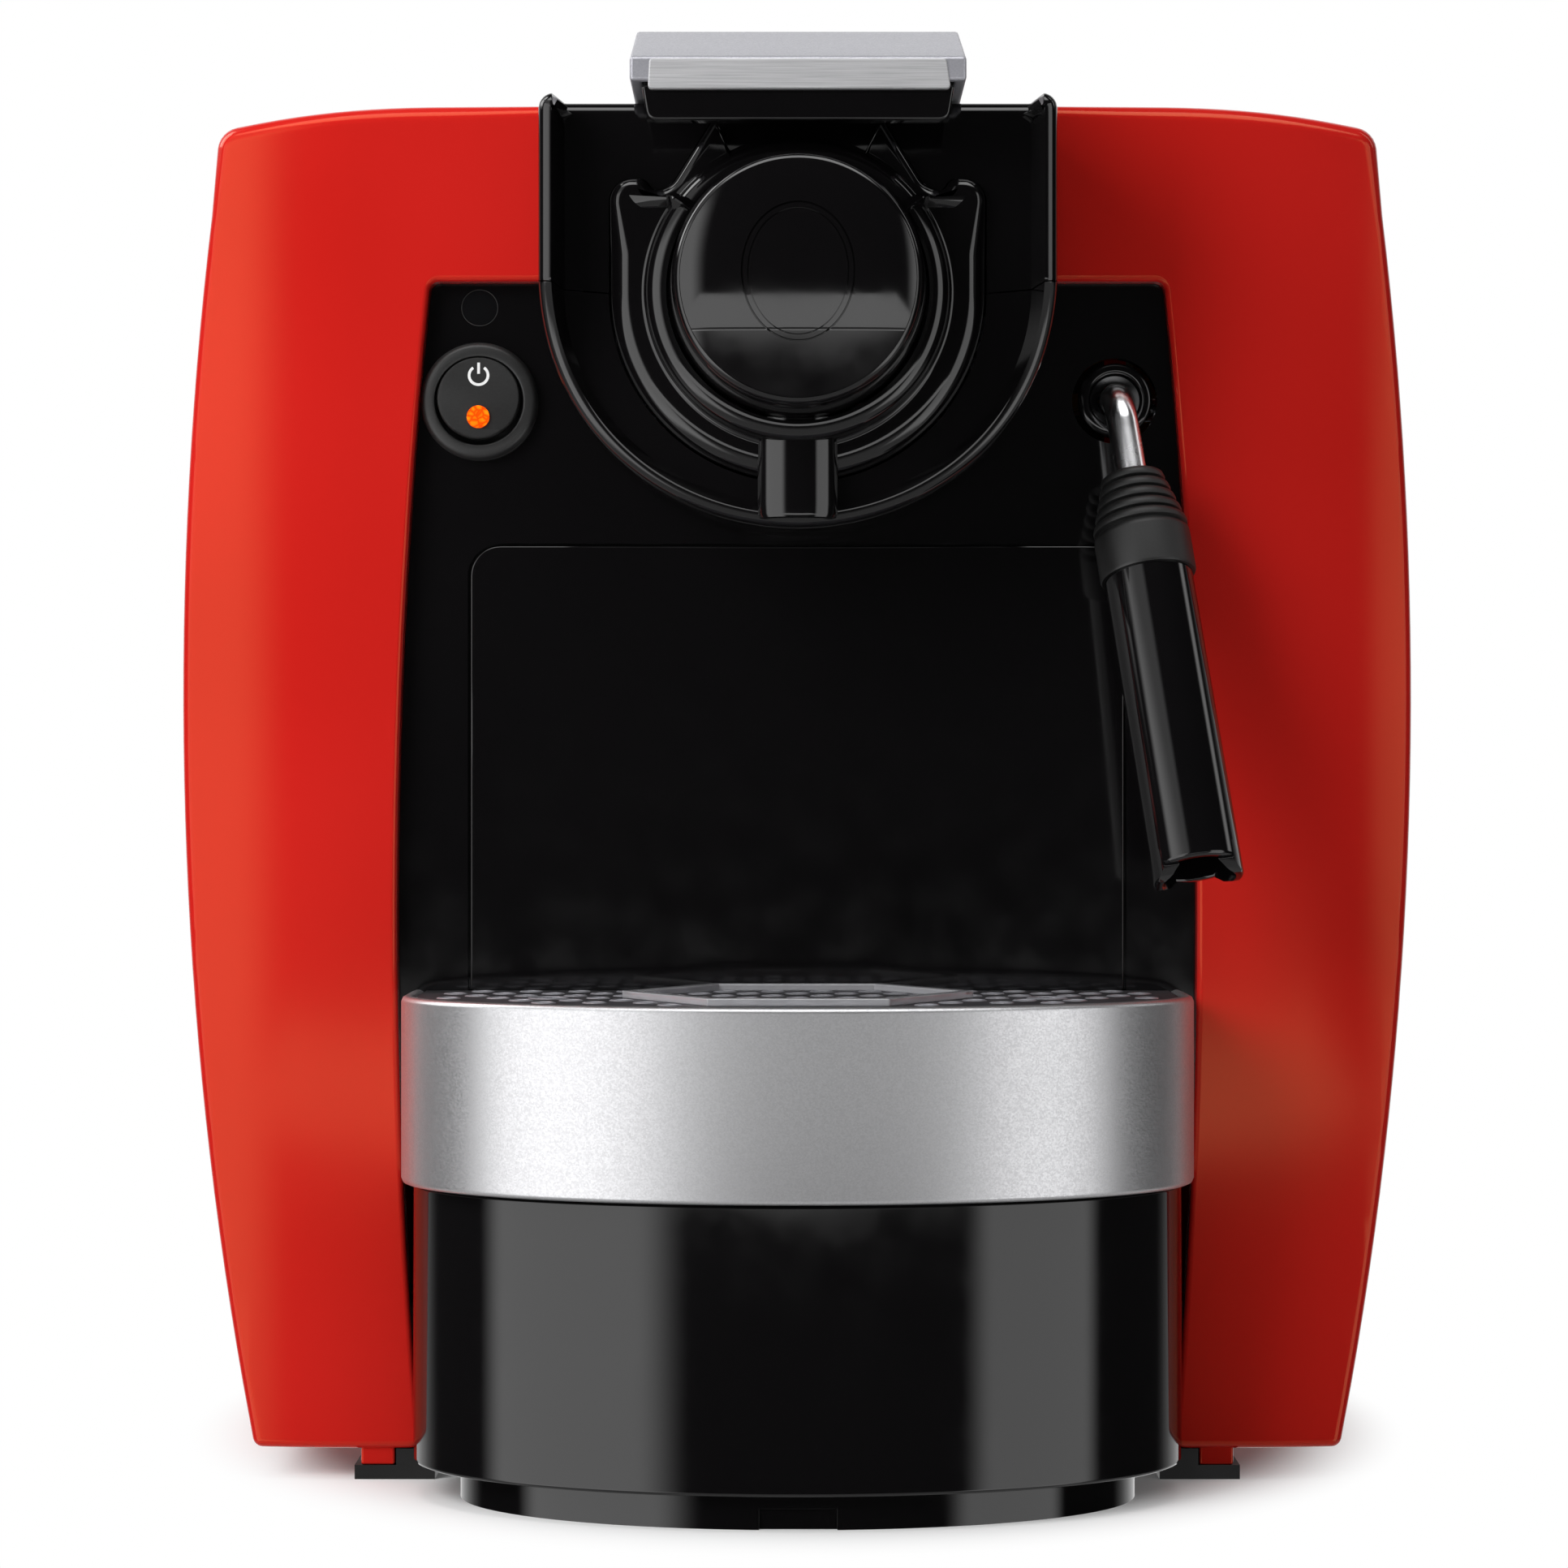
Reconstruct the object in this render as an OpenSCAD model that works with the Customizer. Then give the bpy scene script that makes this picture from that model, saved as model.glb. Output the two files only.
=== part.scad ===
// Pod coffee machine with a lever group, a swinging steam wand, a pod drawer and a lift-off tank.
// Millimetres. +Z is up and -Y is the front. The origin is on the floor, under the middle.

/* [Overall] */
// Width across both side shells at their widest
overall_w = 262; // [215:1:320]
// Depth from the front of the drip ring to the back
overall_d = 310; // [290:1:375]
// Height of the side shells' top edge
shell_top = 290.8; // [275:0.1:350]
// Height of the shells' bottom edge above the floor
shell_bottom = 6.5; // [5:0.1:10]
// Wall of the moulded shells
shell_wall = 2.6; // [1.8:0.1:3.5]
// Distance of the front panel behind the front of the drip ring
tray_reach = 72; // [66:1:84]
// Width of the black opening between the shells at its widest
opening_w = 169.4; // [166:0.2:180]
// Width of the top block and of the group bowl
block_w = 104.6; // [96:0.2:112]

/* [Brew group] */
// Radius of the brew cap where it leaves the collar
cap_r = 26.1; // [24:0.1:27.5]
// Length of the brew cap in front of the collar
cap_len = 20; // [12:1:26]
// Bore radius of the brew chamber
chamber_r = 20; // [18:0.1:21]
// Travel of the piston when the lever opens
piston_travel = 14; // [10:0.5:15]
// Angle through which the lever opens
lever_angle = 75; // [60:1:80]
// Diameter of the lever's pivot pin
pivot_d = 8; // [6:0.5:9]
// Diameter of the cross pin that the cam slots drive
cross_d = 6; // [5:0.5:7]
// Outer diameter of the coffee spout
spout_d = 16.4; // [14:0.2:18]

/* [Lever] */
// Width of the lever's cover
lever_w = 67; // [60:1:76]
// Height of the lever's cover above the shells' top edge
lever_rise = 12.7; // [10:0.1:16]

/* [Drip tray and drawer] */
// Width of the drip ring
ring_w = 164; // [158:1:165]
// Height of the drip ring's lower edge
ring_z = 64.8; // [60:0.1:70]
// Height of the drip ring
ring_h = 38.7; // [30:0.1:44]
// Corner radius of the hexagonal cup rest
rest_r = 36; // [30:0.5:37]
// Distance that the pod drawer pulls out
drawer_travel = 120; // [80:5:130]
// Distance that the drip tray slides off the drawer
tray_travel = 110; // [80:5:130]
// Height that the grille lifts
grille_lift = 12; // [5:1:14]

/* [Steam wand] */
// Outer diameter of the steam tube
tube_d = 6; // [5:0.2:7]
// Outer diameter of the frothing sleeve
sleeve_d = 18.3; // [16:0.1:20]
// Lean of the wand to the right at rest
wand_lean = 7.5; // [5:0.5:12]
// Lean of the wand to the front
wand_reach = 19.4; // [15:0.1:24]

/* [Water] */
// Height of the tank's floor above the floor
tank_z = 56; // [50:1:64]
// Wall of the tank
tank_wall = 2.4; // [1.8:0.1:3]
// Height that the tank lifts
tank_lift = 230; // [150:5:240]

/* [Hidden] */
$fn = 64;

// Colours
shell_red = [0.78, 0.13, 0.11];
gloss_black = [0.08, 0.08, 0.09];
satin_black = [0.2, 0.2, 0.2];
rubber_black = [0.12, 0.12, 0.12];
silver_paint = [0.74, 0.74, 0.76];
steel = [0.8, 0.8, 0.82];
smoke = [0.55, 0.6, 0.66];

// Clearances
gap = 0.3;          // between bodies that move apart
running = 0.05;     // radial clearance of a shaft in its bore
far = 400;          // larger than the machine
eps = 0.01;         // overshoot of a cut past the face that it opens
fine = 720;         // segments of the large arcs

// Planes from front to back
ring_y = -overall_d / 2;             // front of the drip ring
panel_y = ring_y + tray_reach;       // face of the front panel
panel_t = 3;
shell_y = panel_y - 5;               // front of the side shells
rear_y = overall_d / 2;              // back of the side shells
bay_y = rear_y - 89;                 // front face of the tank bay

// Side shells: arcs of the outer side, the crown and the opening
side_arc_r = 817;
side_arc_z = 166;
crown_r = 250;
crown_x = 75;
opening_arc_z = 120;
opening_top = shell_top - 37.3;      // underside of the shells beside the block
front_flat_x = 92;                   // the front face curves back beyond this
front_arc_r = 130;
rear_corner_r = 22;
shell_front_t = 4.7;
bay_edge = 77.3;                     // shells start here beside the tank bay

// Panel
panel_w = 182;
panel_bottom = ring_z + 1.7;
cover_w = 140;                       // inset cover below the group
cover_top = shell_top - 92.5;
cover_corner = 6.9;
seam = 0.5;

// Brew group
brew_z = shell_top - 43.8;
opening_fall = 4.6080627;             // how far the opening narrows up to the switch
opening_arc_r = pow(brew_z - 18.6 - opening_arc_z, 2) / (2 * opening_fall);
seam_z = brew_z + 1.4;               // joint of the top block and the bowl
block_top = shell_top - 4.4;
block_y = panel_y - 48;              // front of the top block
block_rear = bay_y;
block_wall = 3;
bowl_h = 49;
bowl_foot_y = panel_y - 14;          // lower rim of the bowl's inclined face
bowl_wall = 3;
boss_y = panel_y - 39;               // face of the boss inside the top block
boss_r = 38.2;
boss_back_y = panel_y - 17;
collar_r = 30.7;
collar_y = panel_y - 45;
cap_seat_y = panel_y - 29;           // rear end of the brew cap
cap_face_r = cap_r - 1.3;
cap_y = collar_y - cap_len - 1;
spout_y = panel_y - 38;
spout_bottom = brew_z - 46;
hub_r = 19.9;
chamber_y = panel_y - 5;             // front end of the brewing space
chamber_wall = 6;
chamber_len = 32;
chamber_front_t = 8;
pod_gap = 6;                         // brewing space with the lever closed
piston_y = chamber_y + pod_gap;      // face of the piston with the lever closed
piston_head = 12;
pod_window = 19;                     // length of the chamber's windows
pod_slot_w = 41;

// Lever and cam
pivot_y = panel_y + 61;
cam_r0 = 24;                         // cross pin's distance from the pivot when closed
cross_y = pivot_y - cam_r0;
cheek_x = 24;                        // inner face of a cheek
cheek_t = 5;
cam_rim = 32;
frame_x = 32;                        // inner face of a frame plate
frame_t = 4;
lever_y = panel_y - 56.5;            // front of the lever's cover
lever_rear_y = pivot_y - 31.5;
lever_top = shell_top + lever_rise;
lever_under = block_top + 0.6;
lip_bottom = block_top - 6.9;
cover_t = 2.4;

// Switch
switch_x = -67.5;
switch_z = brew_z - 18.6;
bezel_r = 12.5;
bezel_t = 3.2;
rocker_r = 8.85;
switch_bore_r = 9.3;
switch_body_r = 10.2;
rocker_rest = 7;                     // the upper half is pressed in at rest
rocker_pivot_y = panel_y + 1.2;
rocker_pin_r = 1.2;
lens_r = 3.8;
lens_z = brew_z + 1.4;
lit_r = 2.4;
lit_z = 4.3;                         // distance of the lit dot below the rocker's pivot

// Steam wand
wand_x = 67.5;
wand_z = brew_z - 18.4;
ball_r = 5.6;
ball_y = panel_y + 6;
rosette_r = 7.8;
socket_r = 9;
wand_axis_y = panel_y - 10;          // where the leaning axis crosses the ball's height
elbow_r = 9;
bend = 90 - wand_reach;                // turn of the tube's elbow
bend_run = elbow_r * tan(bend / 2);   // from the elbow's corner to its start
grip_s = 18.6;                       // distances along the wand's axis
band_s = 30.5;
sleeve_s = 40.2;
band_end_s = 41.6;
sleeve_end_s = 109.6;
sleeve_cut_s = 102;
sleeve_bore_r = 6.9;
nozzle_r = 4;
nozzle_end_s = 78;

// Drip tray
ring_top = ring_z + ring_h;
ring_centre_y = ring_y + 50;
ring_wall = 3;
ring_back_y = panel_y - 0.5;
grille_t = 2;
grille_z = ring_top - 0.2;
hole_d = 3.5;
hole_pitch = 10.2;
row_pitch = 8.8;
rest_y = panel_y - 33;
rest_h = 1.6;
rest_wall = 3;
tub_floor = 3;

// Drawer and base
drawer_w = 159.6;
drawer_y = ring_y + 5.5;
drawer_wall = 2.5;
drawer_box_w = 146;
drawer_back_y = panel_y + 88;
nose_w = 139.5;
nose_y = ring_y + 9;
nose_top = shell_bottom + 0.1;
nose_back_y = panel_y + 14;
plate_z = shell_bottom + shell_wall;
plate_t = 3;
plate_top = plate_z + plate_t;

// Tank and its bay
bay_wall = 2.4;
bay_floor = 3;
bay_z = tank_z - 1 - bay_floor;
bay_side_x = bay_edge - gap;
tank_w = 2 * (bay_side_x - bay_wall - 0.4);
tank_y = bay_y + bay_wall + 0.4;
tank_rear = rear_y - 3;
tank_top = shell_top - 6.8;
lid_z = tank_top + 0.4;
lid_t = 3;
lid_pin_r = 1.5;
lid_barrel_r = 2.6;
lid_pin_y = rear_y - 6;
lid_pin_z = tank_top + 4;
valve_r = 8;
valve_y = rear_y - 46;
seat_r = 15;

// Water and steam parts
block_l = 42;                        // thermoblock
block_half_x = 30;
block_z0 = brew_z - 35;
block_z1 = brew_z + 15;
block_back = bay_y - 14;
block_front = block_back - block_l;
feed_z = brew_z - 12;
feed_d = 5;
pump_z = 31.5;
pump_y = bay_y - 24;
pump_r = 17;
pump_half_l = 46;
hose_r = 3;
knob_x = 88;
knob_y = block_front + 5;
knob_r = 17;
knob_h = 13;
valve_block_z = brew_z - 22;
valve_block_h = 26;
spindle_r = 3;
spindle_top = shell_top + 8;

// Feet and fasteners
foot_x = 85.2;
foot_w = 17;
foot_l = 22;
foot_rows = [panel_y - 4, rear_y - 34];
screw_r = 2;
screw_x = 98;
screw_grip = 2;
screw_rows = [panel_y + 30, rear_y - 40];
rear_screw_x = 68;
rear_screw_rows = [20, bay_z - 12];

// Chute that leads used pods from the chamber to the drawer
chute_half = 22;
chute_wall = 2;
chute_y0 = panel_y + panel_t;
chute_y1 = panel_y + 31;
chute_z0 = ring_z + 10;
chute_lip_z = brew_z - 40;

// ---------- helpers ----------

// Extrudes a front-view outline from depth y0 back to y1.
module slab(y0, y1) {
    translate([0, y1, 0]) rotate([90, 0, 0]) linear_extrude(y1 - y0) children();
}

// Round bar along Y at x, z.
module bar_y(x, z, y0, y1, r) {
    translate([x, y1, z]) rotate([90, 0, 0]) cylinder(h = y1 - y0, r = r);
}

// Tapered round bar along Y: radius r0 at y0 and r1 at y1.
module cone_y(x, z, y0, y1, r0, r1) {
    translate([x, y0, z]) rotate([-90, 0, 0]) cylinder(h = y1 - y0, r1 = r0, r2 = r1);
}

// Round bar along X, centred on x.
module bar_x(x, y, z, len, r) {
    translate([x - len / 2, y, z]) rotate([0, 90, 0]) cylinder(h = len, r = r);
}

// Box from its lowest to its highest corner.
module box(x0, y0, z0, x1, y1, z1) {
    translate([x0, y0, z0]) cube([x1 - x0, y1 - y0, z1 - z0]);
}

// Box that is centred on x = 0.
module mid_box(half, y0, z0, y1, z1) {
    box(-half, y0, z0, half, y1, z1);
}

// Round pipe through a list of points, with a block at each corner, or a ball on a bent tube.
module pipe(points, r, bent = false) {
    for (i = [0:len(points) - 2]) {
        a = points[i];
        b = points[i + 1];
        d = b - a;
        translate(a) rotate([0, acos(d[2] / norm(d)), atan2(d[1], d[0])]) cylinder(h = norm(d), r = r);
        if (i > 0 && bent) translate(a) sphere(r + 0.05);
        if (i > 0 && !bent) translate(a) cube(2 * r + 1, center = true);
    }
}

module both_sides() {
    children();
    mirror([1, 0, 0]) children();
}

// ---------- casing ----------

// Front view of the right shell, set in from its outer faces.
module shell_profile(inset) {
    intersection() {
        translate([overall_w / 2 - side_arc_r, side_arc_z]) circle(side_arc_r - inset, $fn = fine);
        union() {
            translate([crown_x, shell_top - crown_r]) circle(crown_r - inset, $fn = fine);
            translate([0, shell_bottom]) square([crown_x, shell_top - shell_bottom - inset]);
        }
        translate([0, shell_bottom + inset]) square([overall_w, far]);
    }
}

// Plan of the right shell, set in from its outer faces.
module shell_plan(inset, front_t) {
    corner_x = overall_w / 2 - rear_corner_r;
    intersection() {
        union() {
            translate([0, shell_y + front_t]) square([front_flat_x, far]);
            translate([front_flat_x, shell_y + front_arc_r])
                circle(front_arc_r - front_t, $fn = fine);
            translate([0, shell_y + front_arc_r]) square([overall_w, far]);
        }
        union() {
            translate([0, -far]) square([corner_x, far + rear_y - inset]);
            translate([0, -far]) square([overall_w, far + rear_y - rear_corner_r]);
            translate([corner_x, rear_y - rear_corner_r]) circle(rear_corner_r - inset);
        }
    }
}

module shell_solid(inset, front_t) {
    intersection() {
        slab(shell_y - 1, rear_y + 1) shell_profile(inset);
        linear_extrude(far) shell_plan(inset, front_t);
    }
}

// Opening between the shells: its sides bow outwards.
module opening_outline(inset) {
    intersection() {
        translate([opening_w / 2 - opening_arc_r, opening_arc_z])
            circle(opening_arc_r - inset, $fn = fine);
        translate([0, -eps]) square([overall_w, opening_top - inset + eps]);
    }
}

module side_shell() {
    difference() {
        shell_solid(0, 0);
        shell_solid(shell_wall, shell_front_t);
        slab(-far, far) opening_outline(0);
        mid_box(block_w / 2 + gap, -far, opening_top - 1, far, far);
        mid_box(bay_edge, bay_y, 0, far, far);
        // threads of the base plate's screws
        for (y = screw_rows) translate([screw_x, y, plate_z - screw_grip])
            cylinder(h = screw_grip + 1, r = screw_r + running);
    }
    // stub that carries the front foot
    box(85, panel_y - 4, shell_bottom - 3.5, 92.4, panel_y + 14, shell_bottom + 1);
}

module side_shell_left() { color(shell_red) mirror([1, 0, 0]) side_shell(); }
module side_shell_right() {
    color(shell_red) difference() {
        side_shell();
        // bearing of the steam valve's spindle
        translate([knob_x, knob_y, shell_top - 8]) cylinder(h = 12, r = spindle_r + running);
    }
}

module block_outline(inset) {
    translate([-block_w / 2 + inset, seam_z]) square([block_w - 2 * inset, block_top - seam_z - inset]);
}

// Half ellipse below the seam.
module bowl_outline(inset) {
    translate([0, seam_z]) intersection() {
        circle_ellipse(block_w / 2 - inset, bowl_h - inset);
        translate([-far / 2, -far]) square([far, far]);
    }
}

// Ellipse of half-axes a and b, as a polygon of even steps.
module circle_ellipse(a, b) {
    polygon([for (i = [0:95]) [a * cos(i * 3.75), b * sin(i * 3.75)]]);
}

module cover_outline(inset) {
    r = cover_corner - inset;
    half = cover_w / 2 - inset;
    top = cover_top - inset;
    both_sides() {
        translate([0, panel_bottom + inset]) square([half, top - r - panel_bottom - inset]);
        square_top(half - r, top - r, r);
    }
}

module square_top(x, z, r) {
    translate([0, z - eps]) square([x, r + eps]);
    translate([x, z]) intersection() {
        circle(r);
        translate([0, -eps]) square([r, r + eps]);
    }
}

module front_panel() {
    color(gloss_black) difference() {
        slab(panel_y, panel_y + panel_t)
            translate([-panel_w / 2, panel_bottom]) square([panel_w, opening_top + 9 - panel_bottom]);
        mid_box(block_w / 2 + gap, panel_y - 1, seam_z - 1, panel_y + panel_t + 1, far);
        slab(panel_y - 1, panel_y + panel_t + 1) bowl_outline(bowl_wall / 2);
        slab(panel_y - 1, panel_y + 1.4) cover_outline(0);
        bar_y(switch_x, switch_z, panel_y - 1, panel_y + panel_t + 1, switch_body_r + running);
        bar_y(switch_x, lens_z, panel_y - 1, panel_y + panel_t + 1, lens_r + running);
        bar_y(wand_x, wand_z, panel_y - 1, panel_y + panel_t + 1, socket_r + running);
    }
}

module front_cover() {
    color(gloss_black) slab(panel_y, panel_y + 1.4) cover_outline(seam);
}

// Outline of the boss behind the brew cap, with its neck under the lever.
module boss_outline(grow) {
    k = (boss_r + grow) / boss_r;
    translate([0, brew_z]) scale([k, k]) {
        intersection() {
            circle(boss_r);
            translate([-far, -far]) square([2 * far, far + eps]);
        }
        polygon(concat(
            [for (p = boss_edge) p],
            [for (i = [len(boss_edge) - 1:-1:0]) [-boss_edge[i][0], boss_edge[i][1]]]));
    }
}

// Right edge of the boss above the brew axis: side, shoulder, notch and neck.
boss_edge = [
    [boss_r, 0], [boss_r, 19.8], [37.6, 21.2], [35.7, 22.8], [33.4, 23.3], [31.6, 23.1],
    [30.4, 21.6], [28.9, 21.3], [26.3, 23.3], [24.5, 26.1], [21, 31], [19.2, 31.7]];

module top_block() {
    color(gloss_black) difference() {
        union() {
            difference() {
                slab(block_y, block_rear) block_outline(0);
                slab(block_y + block_wall, block_rear - block_wall) block_outline(block_wall);
                mid_box(block_w / 2 - block_wall, block_y + block_wall, seam_z - 1,
                        block_rear - block_wall, seam_z + 1);
            }
            intersection() {
                slab(block_y, boss_y + 3) boss_outline(3);
                slab(block_y, boss_y + 3) block_outline(0);
            }
        }
        slab(block_y - 1, boss_y + 4) boss_outline(0.4);
        // pod slot and the slots of the lever's cheeks
        mid_box(pod_slot_w / 2, chamber_y - 0.5, block_top - 5, chamber_y + pod_window + 2, block_top + 1);
        both_sides()
            box(cheek_x - 0.5, lever_rear_y - 33, block_top - 5,
                cheek_x + cheek_t + 0.5, pivot_y + 36, block_top + 1);
    }
}

// Everything in front of the bowl's inclined face, set back by t.
module before_bowl_face(t) {
    slope = atan2(bowl_foot_y - block_y, bowl_h);
    translate([0, block_y + t / cos(slope), seam_z]) rotate([slope, 0, 0])
        translate([-far / 2, -far, -far]) cube([far, far, 2 * far]);
}

module bowl_solid(inset, t) {
    difference() {
        slab(block_y, panel_y + (inset > 0 ? 1 : 0)) bowl_outline(inset);
        before_bowl_face(t);
    }
}

// Bowl with the recess that runs down from the top block in front of the boss.
module bowl_shell() {
    difference() {
        union() {
            difference() {
                bowl_solid(0, 0);
                bowl_solid(bowl_wall, bowl_wall);
            }
            intersection() {
                bowl_solid(0, 0);
                slab(block_y, boss_y + bowl_wall) boss_outline(bowl_wall);
            }
        }
        slab(block_y - 1, boss_y) boss_outline(0);
    }
}

module group_bowl() {
    color(gloss_black) difference() {
        union() {
            bowl_shell();
            slab(boss_y, boss_back_y) boss_outline(0);
            bar_y(0, brew_z, collar_y, boss_y + 1, collar_r);
        }
        slab(boss_y + bowl_wall, panel_y + 1) boss_outline(-bowl_wall);
        bar_y(0, brew_z, collar_y - 1, boss_y + bowl_wall + 1, cap_r + gap);
        // room for the spout
        translate([0, spout_y, spout_bottom - 3]) cylinder(h = brew_z - spout_bottom, r = spout_d / 2 + gap);
        // room for the brewing chamber
        bar_y(0, brew_z, boss_back_y - 4, panel_y + 1, chamber_r + chamber_wall + gap);
    }
}

module brew_cap() {
    color(gloss_black) difference() {
        union() {
            cone_y(0, brew_z, cap_y, collar_y, cap_face_r, cap_r);
            bar_y(0, brew_z, collar_y - eps, cap_seat_y, cap_r);
        }
        bar_y(0, brew_z, cap_y + 6, cap_seat_y + 1, hub_r + running);
        // oval pad set into the face
        translate([0, cap_y + 0.8, brew_z + 2.5]) rotate([90, 0, 0]) linear_extrude(3)
            circle_ellipse(11.3, 13.6);
        // lower facet of the face slopes back
        translate([-far / 2, cap_y, brew_z - 10]) rotate([-6, 0, 0]) translate([0, -20, -60]) cube([far, 20, 60]);
        // seat of the spout
        translate([0, spout_y, spout_bottom - 3]) cylinder(h = 30, r = spout_d / 2 + running);
    }
}

module coffee_spout() {
    color(gloss_black) difference() {
        translate([0, spout_y, spout_bottom]) cylinder(h = brew_z - 24 - spout_bottom + 5, r = spout_d / 2);
        translate([0, spout_y, spout_bottom - 1]) cylinder(h = 60, r = spout_d / 2 - 3);
        bar_y(0, brew_z, cap_y, cap_seat_y + 20, hub_r + running);
    }
}

// ---------- switch and lamps ----------

module indicator_lens() {
    color([0.12, 0.12, 0.13]) bar_y(switch_x, lens_z, panel_y, panel_y + panel_t, lens_r);
}

module switch_bezel() {
    color(satin_black) translate([switch_x, panel_y, switch_z]) rotate([90, 0, 0]) rotate_extrude()
        polygon([[switch_bore_r, 0], [bezel_r, 0], [bezel_r, 0.8], [bezel_r - 1.4, 2.4],
                 [bezel_r - 2.6, bezel_t], [switch_bore_r + 0.6, bezel_t], [switch_bore_r, bezel_t - 0.6]]);
}

module switch_body() {
    depth = 24;
    color(satin_black) difference() {
        union() {
            bar_y(switch_x, switch_z, panel_y, panel_y + depth, switch_body_r);
            for (x = [-5, 0, 5])
                box(switch_x + x - 0.4, panel_y + depth - eps, switch_z - 3.2,
                    switch_x + x + 0.4, panel_y + depth + 8, switch_z + 3.2);
        }
        bar_y(switch_x, switch_z, panel_y - 1, panel_y + 9, switch_bore_r);
        bar_x(switch_x, rocker_pivot_y, switch_z, 2 * switch_body_r - 0.8, rocker_pin_r + running);
    }
}

// Rocker about its pivot, with the resting tilt.
module rocker_place() {
    translate([switch_x, rocker_pivot_y, switch_z]) rotate([-rocker_rest, 0, 0]) children();
}

module rocker_button() {
    face = 5.2;
    color(satin_black) rocker_place() difference() {
        union() {
            intersection() {
                rotate([90, 0, 0]) cylinder(h = 2 * face + 8, r = rocker_r, center = true);
                rotate([0, 90, 0]) cylinder(h = 3 * rocker_r, r = rocker_r + 0.1, center = true);
                translate([-rocker_r - 1, 0, 0]) rotate([90, 0, 90]) linear_extrude(2 * rocker_r + 2)
                    polygon([[3.4, -6], [-face - 1, -10], [-face + 0.25, 0], [-face - 1, 10], [3.4, 6]]);
            }
            rotate([0, 90, 0]) cylinder(h = 2 * switch_bore_r + 0.9, r = rocker_pin_r, center = true);
        }
        // seat of the lit dot
        translate([0, -face + 2, -lit_z]) rotate([90, 0, 0]) cylinder(h = 6, r = lit_r + running);
    }
}

module rocker_lens() {
    face = 5.2;
    color([1, 0.45, 0.05]) rocker_place() translate([0, -face + 2, -lit_z])
        rotate([90, 0, 0]) cylinder(h = 2.6, r = lit_r);
}

// ---------- steam wand ----------

module steam_rosette() {
    color(gloss_black) difference() {
        union() {
            bar_y(wand_x, wand_z, panel_y - 2.4, panel_y, rosette_r);
            bar_y(wand_x, wand_z, panel_y, panel_y + 13, socket_r);
        }
        translate([wand_x, ball_y, wand_z]) sphere(ball_r + running);
        cone_y(wand_x, wand_z, panel_y - 3, panel_y + 3, rosette_r - 1.2, ball_r - 1);
        bar_y(wand_x, wand_z, panel_y + 8, panel_y + 14, tube_d / 2);
    }
}

// Wand's own frame: the leaning axis lies in the plane x = 0 and starts at the ball's height.
module wand_frame() {
    translate([wand_x, 0, wand_z]) rotate([0, -wand_lean, 0]) children();
}

// Places its children along the wand's axis, which then runs along -Z from s = 0.
module wand_axis() {
    wand_frame() translate([0, wand_axis_y, 0]) rotate([-wand_reach, 0, 0]) children();
}

// Corners of the tube's bend in the wand's own frame, as depth and height.
function bend_point(turn) = [0, wand_axis_y + bend_run - elbow_r * sin(turn), elbow_r * (cos(turn) - 1)];

module steam_tube() {
    r = tube_d / 2;
    end_s = sleeve_s + 10;
    color(steel) difference() {
        wand_frame() union() {
            translate([0, ball_y, 0]) sphere(ball_r);
            pipe([[0, ball_y, 0], for (i = [0:3]) bend_point(bend * i / 3),
                  [0, wand_axis_y - end_s * sin(wand_reach), -end_s * cos(wand_reach)]], r, true);
        }
        wand_axis() translate([0, 0, -end_s - 1]) cylinder(h = 8, r = 1);
    }
}

module wand_grip() {
    ribs = 5;
    pitch = (band_s - grip_s) / ribs;
    band_r = sleeve_d / 2 + 0.9;
    color(rubber_black) wand_axis() difference() {
        union() {
            for (i = [0:ribs - 1]) {
                r = 5 + (band_r - 6.2) * i / (ribs - 1);
                translate([0, 0, -grip_s - pitch * (i + 0.62)]) cylinder(h = pitch * 0.62, r = r + 0.7);
                translate([0, 0, -grip_s - pitch * (i + 1)]) cylinder(h = pitch * 0.4, r1 = r + 1, r2 = r);
            }
            translate([0, 0, -band_end_s]) cylinder(h = band_end_s - band_s + 0.2, r = band_r);
        }
        translate([0, 0, -far / 2]) cylinder(h = far, r = tube_d / 2 + running);
        translate([0, 0, -band_end_s - 1]) cylinder(h = band_end_s - sleeve_s + 1 + 0.1, r = sleeve_d / 2 + 0.05);
    }
}

module frother_sleeve() {
    r = sleeve_d / 2;
    color(gloss_black) wand_axis() difference() {
        translate([0, 0, -sleeve_end_s]) cylinder(h = sleeve_end_s - sleeve_s, r = r);
        translate([0, 0, -sleeve_end_s - 1]) cylinder(h = sleeve_end_s - sleeve_s - 5, r = sleeve_bore_r);
        translate([0, 0, -sleeve_s - 9]) cylinder(h = 12, r = nozzle_r + 1.2 + running);
        // the front is cut short between two legs
        translate([-r * 0.62, -r - 1, -sleeve_end_s - 1])
            cube([r * 1.24, r, sleeve_end_s - sleeve_cut_s + 1]);
        // air hole
        translate([0, -r - 1, -sleeve_s - 22]) rotate([-90, 0, 0]) cylinder(h = 4, r = 0.8);
    }
}

module frother_nozzle() {
    color(steel) wand_axis() difference() {
        union() {
            translate([0, 0, -nozzle_end_s]) cylinder(h = nozzle_end_s - sleeve_s - 2, r = nozzle_r);
            translate([0, 0, -sleeve_s - 9]) cylinder(h = 9, r = nozzle_r + 1.2);
        }
        translate([0, 0, -sleeve_s - 11]) cylinder(h = 12, r = tube_d / 2 + running);
        translate([0, 0, -nozzle_end_s - 1]) cylinder(h = 30, r = 1);
    }
}

// ---------- drip tray ----------

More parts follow.
